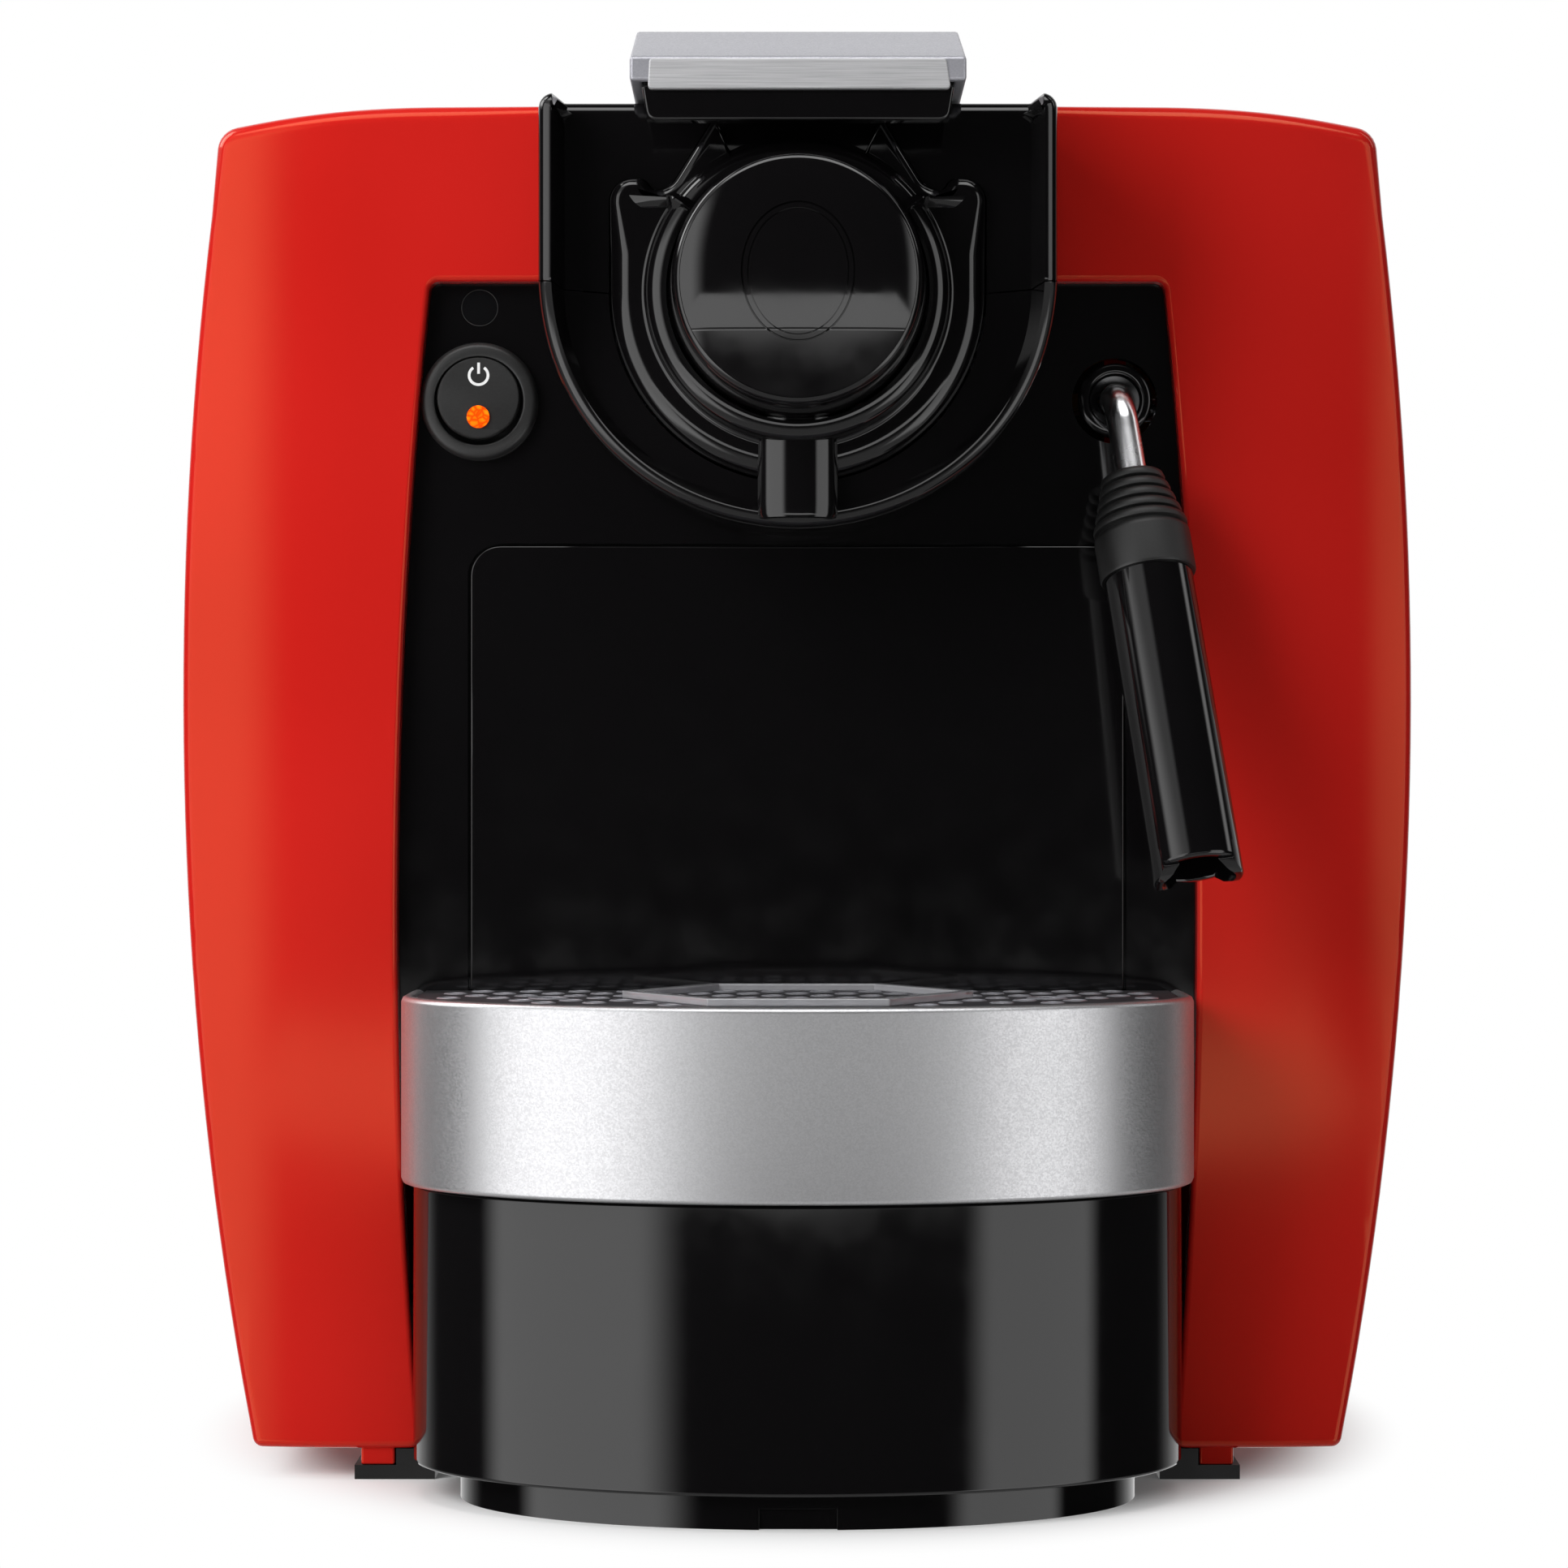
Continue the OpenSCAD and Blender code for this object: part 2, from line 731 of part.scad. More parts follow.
// Plan of the ring: an ellipse at the front and straight sides to the back.
module tray_plan(inset, back) {
    half = ring_w / 2 - inset;
    translate([0, ring_centre_y]) intersection() {
        circle_ellipse(half, ring_centre_y - ring_y - inset);
        translate([-far, -2 * far]) square([2 * far, 2 * far]);
    }
    translate([-half, ring_centre_y - eps]) square([2 * half, back - ring_centre_y + eps]);
}

module drip_ring() {
    color(silver_paint) difference() {
        translate([0, 0, ring_z]) linear_extrude(ring_h) tray_plan(0, ring_back_y);
        translate([0, 0, ring_z - 1]) linear_extrude(ring_h + 2) tray_plan(ring_wall, ring_back_y + 1);
    }
}

module drip_tub() {
    wall = 2;
    inset = ring_wall + 0.1;
    color(gloss_black) difference() {
        translate([0, 0, ring_z]) linear_extrude(grille_z - grille_t - 0.4 - ring_z)
            tray_plan(inset, ring_back_y);
        translate([0, 0, ring_z + tub_floor]) linear_extrude(ring_h)
            tray_plan(inset + wall, ring_back_y - wall);
    }
}

// Rows of drain holes over the plate, inside its edge.
module drain_holes() {
    for (row = [-3:3], col = [-8:8]) {
        x = col * hole_pitch + (row % 2 == 0 ? 0 : hole_pitch / 2);
        y = rest_y + row * row_pitch;
        big = row == 0 && abs(abs(x) - 5 * hole_pitch) < 1;
        u = x / (ring_w / 2 - 8);
        v = min(0, y - ring_centre_y) / (ring_centre_y - ring_y - 8);
        if (u * u + v * v < 1 && y < ring_back_y - 6)
            translate([x, y, grille_z - grille_t - 1]) cylinder(h = grille_t + 2, d = big ? 2 * hole_d : hole_d);
    }
}

module drip_grille() {
    color([0.3, 0.3, 0.31]) difference() {
        translate([0, 0, grille_z - grille_t]) linear_extrude(grille_t)
            tray_plan(ring_wall + gap, ring_back_y - gap);
        drain_holes();
    }
}

module cup_rest() {
    color([0.85, 0.85, 0.86]) translate([0, rest_y, grille_z]) difference() {
        cylinder(h = rest_h, r = rest_r, $fn = 6);
        translate([0, 0, -1]) cylinder(h = rest_h + 2, r = rest_r - rest_wall, $fn = 6);
    }
}

// ---------- drawer and base ----------

module pod_drawer() {
    z0 = nose_top + gap;
    z1 = ring_z - gap;
    inset = (ring_w - drawer_w) / 2;
    front = drawer_y - ring_y;
    floor_z = plate_top + gap;
    color(gloss_black) difference() {
        union() {
            // curved front with its return to the panel
            translate([0, front - inset, z0]) linear_extrude(z1 - z0)
                tray_plan(inset, shell_y - front + inset - gap);
            mid_box(drawer_box_w / 2, shell_y - 2, floor_z, drawer_back_y, z1 - 2);
        }
        translate([0, front - inset, z0 + drawer_wall]) linear_extrude(far)
            tray_plan(inset + drawer_wall, shell_y - front + inset - gap - drawer_wall);
        mid_box(drawer_box_w / 2 - drawer_wall, ring_centre_y + 10, floor_z + drawer_wall,
                drawer_back_y - drawer_wall, far);
        // the front part passes over the fixed nose
        mid_box(far, shell_y - 2.1, -1, far, floor_z);
    }
}

module base_nose() {
    wall = 3;
    half = nose_w / 2;
    slope = ring_centre_y - ring_y - (nose_y - ring_y);
    color(gloss_black) difference() {
        union() {
            translate([0, ring_centre_y, 0]) linear_extrude(nose_top) intersection() {
                circle_ellipse(half, slope);
                translate([-far, -2 * far]) square([2 * far, 2 * far]);
            }
            mid_box(half, ring_centre_y - eps, 0, nose_back_y, nose_top);
            mid_box(half, shell_y + 4, 0, nose_back_y, plate_z);
        }
        // finger notch under the front edge
        mid_box(7.7, nose_y - 1, -1, nose_y + 9, 4.2);
        // hollow underside
        translate([0, ring_centre_y, -1]) linear_extrude(nose_top - wall + 1) intersection() {
            circle_ellipse(half - wall, slope - 12);
            translate([-far, -2 * far]) square([2 * far, 2 * far]);
        }
        mid_box(half - wall, ring_centre_y - 1, -1, nose_back_y - wall, nose_top - wall);
    }
    // tongue in the notch
    color(gloss_black) mid_box(5, nose_y + 2, 0.2, nose_y + 9, 4.2);
}

module base_plate() {
    half = overall_w / 2 - 22;
    rib = drawer_box_w / 2 + gap;
    color(satin_black) difference() {
        union() {
            mid_box(half, panel_y + panel_t + 1, plate_z, rear_y - 4, plate_top);
            both_sides() box(rib, panel_y + panel_t + 1, plate_z, rib + 2.5, drawer_back_y, plate_top + 12);
        }
        both_sides() for (y = screw_rows) translate([screw_x, y, plate_z - 1]) cylinder(h = 9, r = screw_r + running);
    }
}

module feet() {
    color(rubber_black) both_sides() {
        for (y = foot_rows) box(foot_x - foot_w / 2, y, 0, foot_x + foot_w / 2, y + foot_l, 3);
        box(foot_x - foot_w / 2, foot_rows[0], 3, 84.9, foot_rows[0] + foot_l, shell_bottom);
        box(foot_x - foot_w / 2, foot_rows[0] + 18.1, 3, foot_x + foot_w / 2, foot_rows[0] + foot_l, shell_bottom);
        box(foot_x - foot_w / 2, foot_rows[1], 3, foot_x + foot_w / 2, foot_rows[1] + foot_l, shell_bottom);
    }
}

module screws() {
    color(steel) both_sides() {
        // base plate screws, down into the shells' flanges
        for (y = screw_rows) translate([screw_x, y, plate_z - screw_grip]) {
            cylinder(h = screw_grip + plate_t + 1, r = screw_r);
            translate([0, 0, screw_grip + plate_t]) cylinder(h = 2.2, r = 3.6);
        }
        // rear cover screws
        for (z = rear_screw_rows) translate([rear_screw_x, rear_y - 0.5, z]) rotate([90, 0, 0]) {
            cylinder(h = 1.9, r = 3.4);
            cylinder(h = 9, r = 1.6);
        }
    }
}

module rear_cover() {
    y0 = rear_y - 4;
    color(satin_black) difference() {
        union() {
            mid_box(bay_side_x, y0, plate_z, rear_y - 0.5, bay_z - gap);
            both_sides() for (z = rear_screw_rows) bar_y(rear_screw_x, z, y0 - 8, y0 + 1, 4);
        }
        // vents
        for (i = [0:6]) box(-18 + i * 6, y0 - 1, 18, -15 + i * 6, rear_y, bay_z - 10);
        // inlet
        box(34, y0 - 1, 20, 56, rear_y, 38);
        both_sides() for (z = rear_screw_rows) {
            bar_y(rear_screw_x, z, rear_y - 2.4, rear_y, 3.4 + running);
            bar_y(rear_screw_x, z, y0 - 9, rear_y, 1.6 + running);
        }
    }
}

module mains_inlet() {
    color(rubber_black) difference() {
        union() {
            box(34.2, rear_y - 26, 20.2, 55.8, rear_y - 1, 37.8);
            box(36, rear_y - 4 - 2.2, 17, 54, rear_y - 4, 41);
        }
        box(36.6, rear_y - 18, 22.4, 53.4, rear_y, 35.6);
    }
    for (p = [[41, 27], [45, 31], [49, 27]])
        color(steel) box(p[0] - 1, rear_y - 18 - eps, p[1] - 2, p[0] + 1, rear_y - 5, p[1] + 2);
}

// ---------- water tank ----------

module tank_bay() {
    color(satin_black) difference() {
        mid_box(bay_side_x, bay_y, bay_z, rear_y - 3, shell_top - 5);
        mid_box(bay_side_x - bay_wall, bay_y + bay_wall, bay_z + bay_floor, rear_y, far);
        translate([0, valve_y, bay_z - 1]) cylinder(h = bay_floor + 2, r = seat_r - 3 + running);
    }
}

module water_tank() {
    half = tank_w / 2;
    color(smoke) difference() {
        union() {
            mid_box(half, tank_y, tank_z, tank_rear, tank_top);
            both_sides() {
                bar_x(17, lid_pin_y, lid_pin_z, 6, lid_barrel_r);
                box(14, lid_pin_y - 1, tank_top - 8, 20, tank_rear, lid_pin_z);
            }
        }
        mid_box(half - tank_wall, tank_y + tank_wall, tank_z + tank_wall,
                tank_rear - tank_wall - 0.6, far);
        both_sides() box(14, lid_pin_y - far / 4, tank_top, 20, lid_pin_y - 2.7, far);
        bar_x(0, lid_pin_y, lid_pin_z, far / 4, lid_pin_r + running);
        translate([0, valve_y, tank_z - 1]) cylinder(h = 6, r = valve_r - 2 + running);
    }
}

module tank_lid() {
    half = tank_w / 2;
    color(smoke) difference() {
        union() {
            mid_box(half, tank_y, lid_z, lid_pin_y - 3.2, lid_z + lid_t);
            mid_box(13.7, lid_pin_y - 4, lid_z + 0.4, lid_pin_y, lid_z + lid_t);
            bar_x(0, lid_pin_y, lid_pin_z, 27.4, lid_barrel_r);
            // grip rib
            mid_box(22, tank_y + 8, lid_z, tank_y + 11, lid_z + lid_t + 2.6);
        }
        bar_x(0, lid_pin_y, lid_pin_z, 40, lid_pin_r + running);
    }
}

module lid_pin() { color(steel) bar_x(0, lid_pin_y, lid_pin_z, 40, lid_pin_r); }

module tank_valve() {
    color(rubber_black) translate([0, valve_y, 0]) difference() {
        union() {
            translate([0, 0, tank_z + tank_wall]) cylinder(h = 3, r = valve_r + 2);
            translate([0, 0, bay_z + 1.2]) cylinder(h = tank_z + tank_wall - bay_z - 1, r = valve_r - 2);
        }
        translate([0, 0, bay_z]) cylinder(h = 30, r = 2.5);
    }
}

module tank_seat() {
    color(satin_black) translate([0, valve_y, 0]) difference() {
        union() {
            translate([0, 0, bay_z - 8]) cylinder(h = 8 + bay_floor, r = seat_r - 3);
            translate([0, 0, bay_z - 3]) cylinder(h = 3, r = seat_r);
            translate([0, -seat_r - 3, bay_z - 4.5]) rotate([-90, 0, 0]) cylinder(h = 12, r = hose_r);
        }
        translate([0, 0, bay_z - 5]) cylinder(h = 20, r = valve_r - 2 + gap);
    }
}

module suction_hose() {
    z = bay_z - 4.5;
    x = -pump_half_l - 8;
    y = pump_y + pump_r + 11;
    color(smoke) pipe([[0, valve_y - seat_r - 3, z], [0, y, z], [x, y, z], [x, pump_y, z],
                       [x, pump_y, pump_z], [-pump_half_l, pump_y, pump_z]], hose_r);
}

module pump() {
    coil = 26;
    color([0.75, 0.62, 0.3]) bar_x(0, pump_y, pump_z, 2 * pump_half_l, 6);
    color(satin_black) mid_box(coil, pump_y - pump_r, pump_z - pump_r, pump_y + pump_r, pump_z + pump_r);
    color(satin_black) bar_x(0, pump_y, pump_z, 2 * (pump_half_l - 10), 11);
}

module pump_mounts() {
    inner = pump_half_l - 15;
    color(rubber_black) both_sides() difference() {
        box(inner, pump_y - 14, plate_top, inner + 4, pump_y + 14, pump_z + 12);
        bar_x(inner, pump_y, pump_z, 20, 11 + running);
    }
}

module pressure_hose() {
    x = pump_half_l + 8;
    y = block_front + 9;
    z = block_z0 + 12;
    color(smoke) pipe([[pump_half_l, pump_y, pump_z], [x, pump_y, pump_z], [x, y, pump_z],
                       [x, y, z], [block_half_x, y, z]], hose_r);
}

module thermoblock() {
    color([0.7, 0.7, 0.72]) difference() {
        union() {
            mid_box(block_half_x, block_front, block_z0, block_back, block_z1);
            bar_y(0, feed_z, block_front - 6, block_front + 1, feed_d / 2 + 4);
        }
        bar_y(0, feed_z, block_front - 7, block_back - 10, feed_d / 2 + running);
        // grooves between the two halves
        both_sides() box(block_half_x - 2, block_front - 1, brew_z - 11.5, block_half_x + 1, block_back + 1, brew_z - 8.5);
    }
}

module thermoblock_bracket() {
    color(steel) both_sides() {
        box(block_half_x - 12, block_back, block_z0 + 8, block_half_x - 9.5, bay_y, seam_z - 1);
        box(block_half_x - 12, bay_y - 2, block_z0 + 8, block_half_x + 6, bay_y, seam_z - 1);
    }
}

module thermostats() {
    color(satin_black) for (x = [-14, 14]) translate([x, (block_front + block_back) / 2, block_z1]) {
        cylinder(h = 5, r = 8);
        translate([-3, -1, 5]) cube([6, 2, 5]);
    }
}

module control_board() {
    top = block_z0 - 30;
    color([0.1, 0.35, 0.2]) mid_box(42, bay_y - 9.6, top - 80, bay_y - 8, top);
    color(satin_black) both_sides() for (z = [top - 6, top - 74]) bar_y(36, z, bay_y - 8, bay_y, 3);
    color(satin_black) box(-20, bay_y - 27, top - 40, 8, bay_y - 9.6, top - 16);
    color(rubber_black) box(16, bay_y - 20, top - 70, 36, bay_y - 9.6, top - 46);
}

// ---------- steam valve ----------

module steam_valve() {
    z1 = valve_block_z + valve_block_h;
    color([0.75, 0.62, 0.3]) difference() {
        union() {
            box(knob_x - 9, knob_y - 10, valve_block_z, knob_x + 9, knob_y + 10, z1);
            box(block_half_x, knob_y - 6, valve_block_z + 10, knob_x - 8, knob_y + 6, valve_block_z + 14);
        }
        translate([knob_x, knob_y, z1 - 14]) cylinder(h = 20, r = spindle_r + running);
    }
}

module steam_spindle() {
    z1 = valve_block_z + valve_block_h;
    color(steel) translate([knob_x, knob_y, z1 - 13]) cylinder(h = spindle_top - z1 + 13, r = spindle_r);
}

module steam_knob() {
    color(satin_black) translate([knob_x, knob_y, shell_top + gap]) difference() {
        union() {
            cylinder(h = knob_h - 2, r = knob_r - 1.2);
            translate([0, 0, knob_h - 2]) cylinder(h = 2, r1 = knob_r - 1.2, r2 = knob_r - 3.2);
            for (i = [0:17]) rotate(i * 20) translate([knob_r - 1.6, 0, 0]) cylinder(h = knob_h - 2.5, r = 1.2);
        }
        translate([0, 0, -1]) cylinder(h = spindle_top - shell_top - gap + 1, r = spindle_r + running);
        // pointer groove
        translate([-0.8, -knob_r + 3, knob_h - 1]) cube([1.6, 10, 3]);
    }
}

module steam_pipe() {
    y = panel_y + 22;
    color(steel) pipe([[knob_x, knob_y - 10, wand_z], [knob_x, y, wand_z], [wand_x, y, wand_z],
                       [wand_x, panel_y + 13, wand_z]], tube_d / 2 - 0.5);
}

// ---------- brew group ----------

module brew_chamber() {
    r = chamber_r + chamber_wall;
    y0 = chamber_y - chamber_front_t;
    color([0.7, 0.7, 0.72]) difference() {
        union() {
            bar_y(0, brew_z, y0, chamber_y + chamber_len, r);
            bar_y(0, brew_z, cap_y + 12, y0 + 1, hub_r);
            // flats that bolt between the frame plates
            mid_box(frame_x, panel_y + 4, brew_z - 12, panel_y + 18, brew_z + 12);
        }
        bar_y(0, brew_z, chamber_y, chamber_y + chamber_len + 1, chamber_r);
        // outlet to the spout
        bar_y(0, brew_z, cap_y + 14, chamber_y + 1, 5);
        translate([0, spout_y, brew_z - hub_r - 1]) cylinder(h = hub_r + 1, r = 4);
        // windows for the pod, above and below
        mid_box(pod_slot_w / 2 - 3, chamber_y, brew_z - far / 2, chamber_y + pod_window, brew_z + far / 2);
        // flat seat of the pod guide
        mid_box(far, chamber_y - 2, brew_z + 22, far, far);
    }
}

module pod_guide() {
    half = pod_slot_w / 2;
    y1 = chamber_y + pod_window + 1.5;
    z0 = brew_z + 22;
    color(satin_black) difference() {
        mid_box(half + 2, chamber_y - 2, z0, y1 + 2, block_top - block_wall - 0.1);
        mid_box(half - 3, chamber_y, z0 - 1, y1, far);
    }
}

// Chute behind the front panel; its mouth leans forward under the chamber.
module pod_chute() {
    w = chute_wall;
    mouth_y = chute_y0 - 8;
    mouth_z = chute_lip_z + 12;
    color(satin_black) {
        both_sides() across(chute_half, chute_half + w) polygon([
            [chute_y0, chute_z0], [chute_y0, chute_lip_z], [mouth_y, chute_lip_z + 8], [mouth_y, mouth_z],
            [chute_y1, mouth_z], [chute_y1, chute_z0]]);
        across(-chute_half - eps, chute_half + eps) polygon([
            [chute_y0, chute_z0], [chute_y0, chute_lip_z], [mouth_y, chute_lip_z + 8], [mouth_y, mouth_z],
            [mouth_y + w, mouth_z], [mouth_y + w, chute_lip_z + 9], [chute_y0 + w, chute_lip_z + 1],
            [chute_y0 + w, chute_z0]]);
        mid_box(chute_half + eps, chute_y1 - w, chute_z0, chute_y1, mouth_z);
    }
}

module group_frame() {
    color(steel) {
        difference() {
            both_sides() {
                box(frame_x, panel_y + panel_t, brew_z - 24, frame_x + frame_t, pivot_y + 14, brew_z + 22);
                box(frame_x, panel_y + panel_t, brew_z - 24, frame_x + 24, panel_y + panel_t + 2, brew_z);
            }
            bar_x(0, pivot_y, brew_z, far / 4, pivot_d / 2 + running);
            both_sides() box(frame_x - 1, cross_y - 8, brew_z - 7, frame_x + 8, cross_y + piston_travel + 8, brew_z + 7);
        }
        // rear crossbar
        mid_box(frame_x + eps, pivot_y + 8, brew_z - 24, pivot_y + 12, brew_z - 19);
    }
}

module piston() {
    rod_r = 8;
    rod_end = pivot_y - pivot_d / 2 - gap - piston_travel;
    color([0.7, 0.7, 0.72]) difference() {
        union() {
            bar_y(0, brew_z, piston_y, piston_y + piston_head, chamber_r - gap);
            bar_y(0, brew_z, piston_y + piston_head - 1, rod_end, rod_r);
        }
        bar_x(0, cross_y, brew_z, 40, cross_d / 2 + running);
        // groove of the seal
        translate([0, piston_y + 6, brew_z]) rotate([90, 0, 0]) rotate_extrude()
            translate([chamber_r - 1.9, 0]) circle(1.75);
        bar_y(0, feed_z, piston_y + 3, piston_y + piston_head + 1, feed_d / 2);
        // seat of the shower screen
        bar_y(0, brew_z, piston_y - 1, piston_y + 1.2, chamber_r - 4);
    }
}

module piston_seal() {
    color([0.6, 0.2, 0.15]) translate([0, piston_y + 6, brew_z]) rotate([90, 0, 0]) rotate_extrude()
        translate([chamber_r - 1.8, 0]) circle(1.6);
}

module shower_screen() {
    color(steel) difference() {
        bar_y(0, brew_z, piston_y, piston_y + 1.2, chamber_r - 4.1);
        for (ring = [1:3], i = [0:6 * ring - 1])
            bar_y(ring * 4.4 * cos(i * 60 / ring), brew_z + ring * 4.4 * sin(i * 60 / ring),
                  piston_y - 1, piston_y + 2, 0.7);
    }
}

module feed_tube() {
    color(steel) difference() {
        bar_y(0, feed_z, piston_y + 3, block_front + 8, feed_d / 2);
        bar_y(0, feed_z, piston_y + 2, block_front + 9, feed_d / 2 - 1);
    }
}

module cross_pin() { color(steel) bar_x(0, cross_y, brew_z, 2 * (cheek_x + cheek_t + 1.5), cross_d / 2); }

module lever_pin() { color(steel) bar_x(0, pivot_y, brew_z, 2 * (frame_x + frame_t + 2), pivot_d / 2); }

// ---------- lever ----------

// Cam slot in the lever's frame: the radius falls evenly with the angle.
function cam_radius(a) = cam_r0 - piston_travel * a / lever_angle;
// Direction of the slot's outward normal
function cam_normal(a) = 180 + a + atan2(piston_travel / lever_angle * 180 / PI, cam_radius(a));
// Point of the slot's edge, at an angle from its centre line
function cam_edge(a, angle) =
    let (r = cam_radius(a), w = cross_d / 2 + gap)
    [w * cos(angle) - r * cos(a), w * sin(angle) - r * sin(a)];

module cam_slot() {
    steps = 24;
    polygon(concat(
        [for (i = [0:steps]) let (a = i * lever_angle / steps) cam_edge(a, cam_normal(a))],
        [for (turn = [15:15:165]) cam_edge(lever_angle, cam_normal(lever_angle) + turn)],
        [for (i = [steps:-1:0]) let (a = i * lever_angle / steps) cam_edge(a, cam_normal(a) + 180)],
        [for (turn = [15:15:165]) cam_edge(0, cam_normal(0) + 180 + turn)]));
}

// Side view of a cheek, with the pivot at its origin; x is depth and y is height.
module cheek_outline() {
    reach = lever_rear_y - pivot_y - cover_t - 0.2;
    top = lever_under - brew_z + 2;
    difference() {
        union() {
            circle(pivot_d / 2 + 5);
            // arm to the handle
            polygon([[-pivot_d / 2 - 4, -4], [reach - 28, top - 3], [reach - 28, top], [reach, top],
                     [reach, top - 8], [0, pivot_d / 2 + 5]]);
            // quadrant that carries the cam slot
            intersection() {
                circle(cam_rim);
                polygon([[0, 0], [-60, 8], [-60, -60], [0, -60], [8, -20]]);
            }
        }
        circle(pivot_d / 2 + running);
        cam_slot();
    }
}

// Side view of the handle in world depth and height, set in from the cover's outside.
module handle_outline(inset) {
    front = lever_y + inset;
    rear = lever_rear_y - inset;
    polygon([
        [front, lever_under], [front, lever_top - 11.7 - inset * 0.6],
        [front + 37, lever_top - inset], [rear - 8, lever_top - inset],
        [rear, lever_top - 8 - inset], [rear, lever_under]]);
}

// Extrudes a side-view outline across the width, from x0 to x1.
module across(x0, x1) {
    translate([x0, 0, 0]) rotate([90, 0, 90]) linear_extrude(x1 - x0) children();
}

module lever_body() {
    half = lever_w / 2 - cover_t;
    color(gloss_black) {
        difference() {
            union() {
                across(-half, half) handle_outline(cover_t);
                // lip that hangs in front of the block, under the cover's front
                mid_box(half - 1, lever_y + 1.5, lip_bottom, lever_y + 5.2, lever_under);
                mid_box(half - 1, lever_y + cover_t + 0.2, lip_bottom, lever_y + 5.2, lever_under + 1);
            }
            // hollow underside of the handle
            mid_box(cheek_x - 3, lever_y + 12, lever_under - 1, lever_rear_y - 6, lever_under + 1.4);
        }
        both_sides() across(cheek_x, cheek_x + cheek_t) translate([pivot_y, brew_z]) cheek_outline();
    }
}

module lever_cover() {
    half = lever_w / 2;
    color(silver_paint) difference() {
        across(-half, half) handle_outline(0);
        across(-half + cover_t - 0.02, half - cover_t + 0.02) handle_outline(cover_t - 0.02);
        mid_box(half - cover_t, lever_y + cover_t, lever_under - 1, lever_rear_y - cover_t, lever_under + 2);
    }
}

side_shell_left();
side_shell_right();
front_panel();
front_cover();
top_block();
group_bowl();
brew_cap();
coffee_spout();
indicator_lens();
switch_bezel();
switch_body();
rocker_button();
rocker_lens();
steam_rosette();
steam_tube();
wand_grip();
frother_sleeve();
frother_nozzle();
drip_ring();
drip_tub();
drip_grille();
cup_rest();
pod_drawer();
base_nose();
base_plate();
feet();
screws();
rear_cover();
tank_bay();
water_tank();
tank_lid();
lid_pin();
tank_valve();
tank_seat();
suction_hose();
pump();
pump_mounts();
pressure_hose();
thermoblock();
thermoblock_bracket();
thermostats();
feed_tube();
steam_valve();
steam_spindle();
steam_knob();
steam_pipe();
brew_chamber();
group_frame();
piston();
piston_seal();
shower_screen();
cross_pin();
lever_body();
lever_cover();
lever_pin();
control_board();
mains_inlet();
pod_guide();
pod_chute();
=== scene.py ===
"""Looks of a pod coffee machine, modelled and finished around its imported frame.

Shapes are worked out in millimetres and become metres when a piece is finished. +Z is up and -Y is
the front. Outlines run anticlockwise, so that their inside lies on the left.
"""

import logging
import math
from dataclasses import dataclass
from enum import Enum
from typing import Callable, Iterable, Sequence

import bmesh
import bpy
from mathutils import Matrix, Vector


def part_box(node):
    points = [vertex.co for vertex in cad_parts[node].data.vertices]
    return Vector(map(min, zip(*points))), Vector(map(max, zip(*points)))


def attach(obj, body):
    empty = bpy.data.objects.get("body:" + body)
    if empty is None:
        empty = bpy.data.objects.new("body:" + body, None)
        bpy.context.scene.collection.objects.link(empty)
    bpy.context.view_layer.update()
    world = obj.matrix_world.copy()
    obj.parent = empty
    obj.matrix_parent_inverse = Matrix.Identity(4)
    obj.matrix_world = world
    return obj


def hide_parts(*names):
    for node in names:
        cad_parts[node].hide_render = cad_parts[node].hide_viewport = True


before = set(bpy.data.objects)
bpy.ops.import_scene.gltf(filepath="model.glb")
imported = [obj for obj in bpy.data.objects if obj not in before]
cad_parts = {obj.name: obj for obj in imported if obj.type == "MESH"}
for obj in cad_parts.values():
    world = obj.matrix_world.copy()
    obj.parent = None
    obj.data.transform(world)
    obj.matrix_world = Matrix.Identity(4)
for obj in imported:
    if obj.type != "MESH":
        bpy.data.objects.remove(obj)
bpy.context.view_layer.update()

Point2 = tuple[float, float]
Corner = tuple[float, float, float]
Chain = list[Vector]
Thing = bpy.types.Object

log = logging.getLogger("machine")
MM = 0.001                # metres in a millimetre
MERGE_MM = 0.002          # vertices nearer than this are one
PLANE_MM = 0.0001         # vertices nearer than this to a cutting plane lie on it
TINY = 1e-6               # slack of a comparison
PARALLEL = 1e-9           # least cross product of two directions that meet
SMOOTH_ANGLE = 38.0       # edges sharper than this stay crisp
ROUND_STEPS = 5           # segments of a rounded edge
SPIKE_LIMIT = 0.35        # keeps the inset of a sharp corner from running away
BACK = Vector((0, 1, 0))
UP = Vector((0, 0, 1))


class Body(Enum):
    """Moving bodies that pieces ride on."""

    CASING = "casing"
    LEVER = "lever"
    ROCKER = "rocker"
    WAND = "wand"
    DRAWER = "drawer"
    TRAY = "tray"
    GRILLE = "grille"


# ---------------------------------------------------------------- outlines


def clamp(share: float) -> float:
    """Keeps a share between 0 and 1."""
    return max(0.0, min(1.0, share))


def arc_fall(radius: float, off: float) -> float:
    """Returns how far an arc has fallen away at a distance from its crown."""
    return radius - math.sqrt(radius ** 2 - off ** 2)


def arc(centre: Point2, radii: Point2, start: float, end: float, steps: int) -> list[Point2]:
    """Works out points on an arc of an ellipse.

    Args:
        centre: Middle of the ellipse.
        radii: Its two half axes.
        start: First angle in degrees.
        end: Last angle in degrees.
        steps: Number of segments.

    Returns:
        The points, both ends included.
    """
    turns = [math.radians(start + (end - start) * i / steps) for i in range(steps + 1)]
    return [(centre[0] + radii[0] * math.cos(t), centre[1] + radii[1] * math.sin(t)) for t in turns]


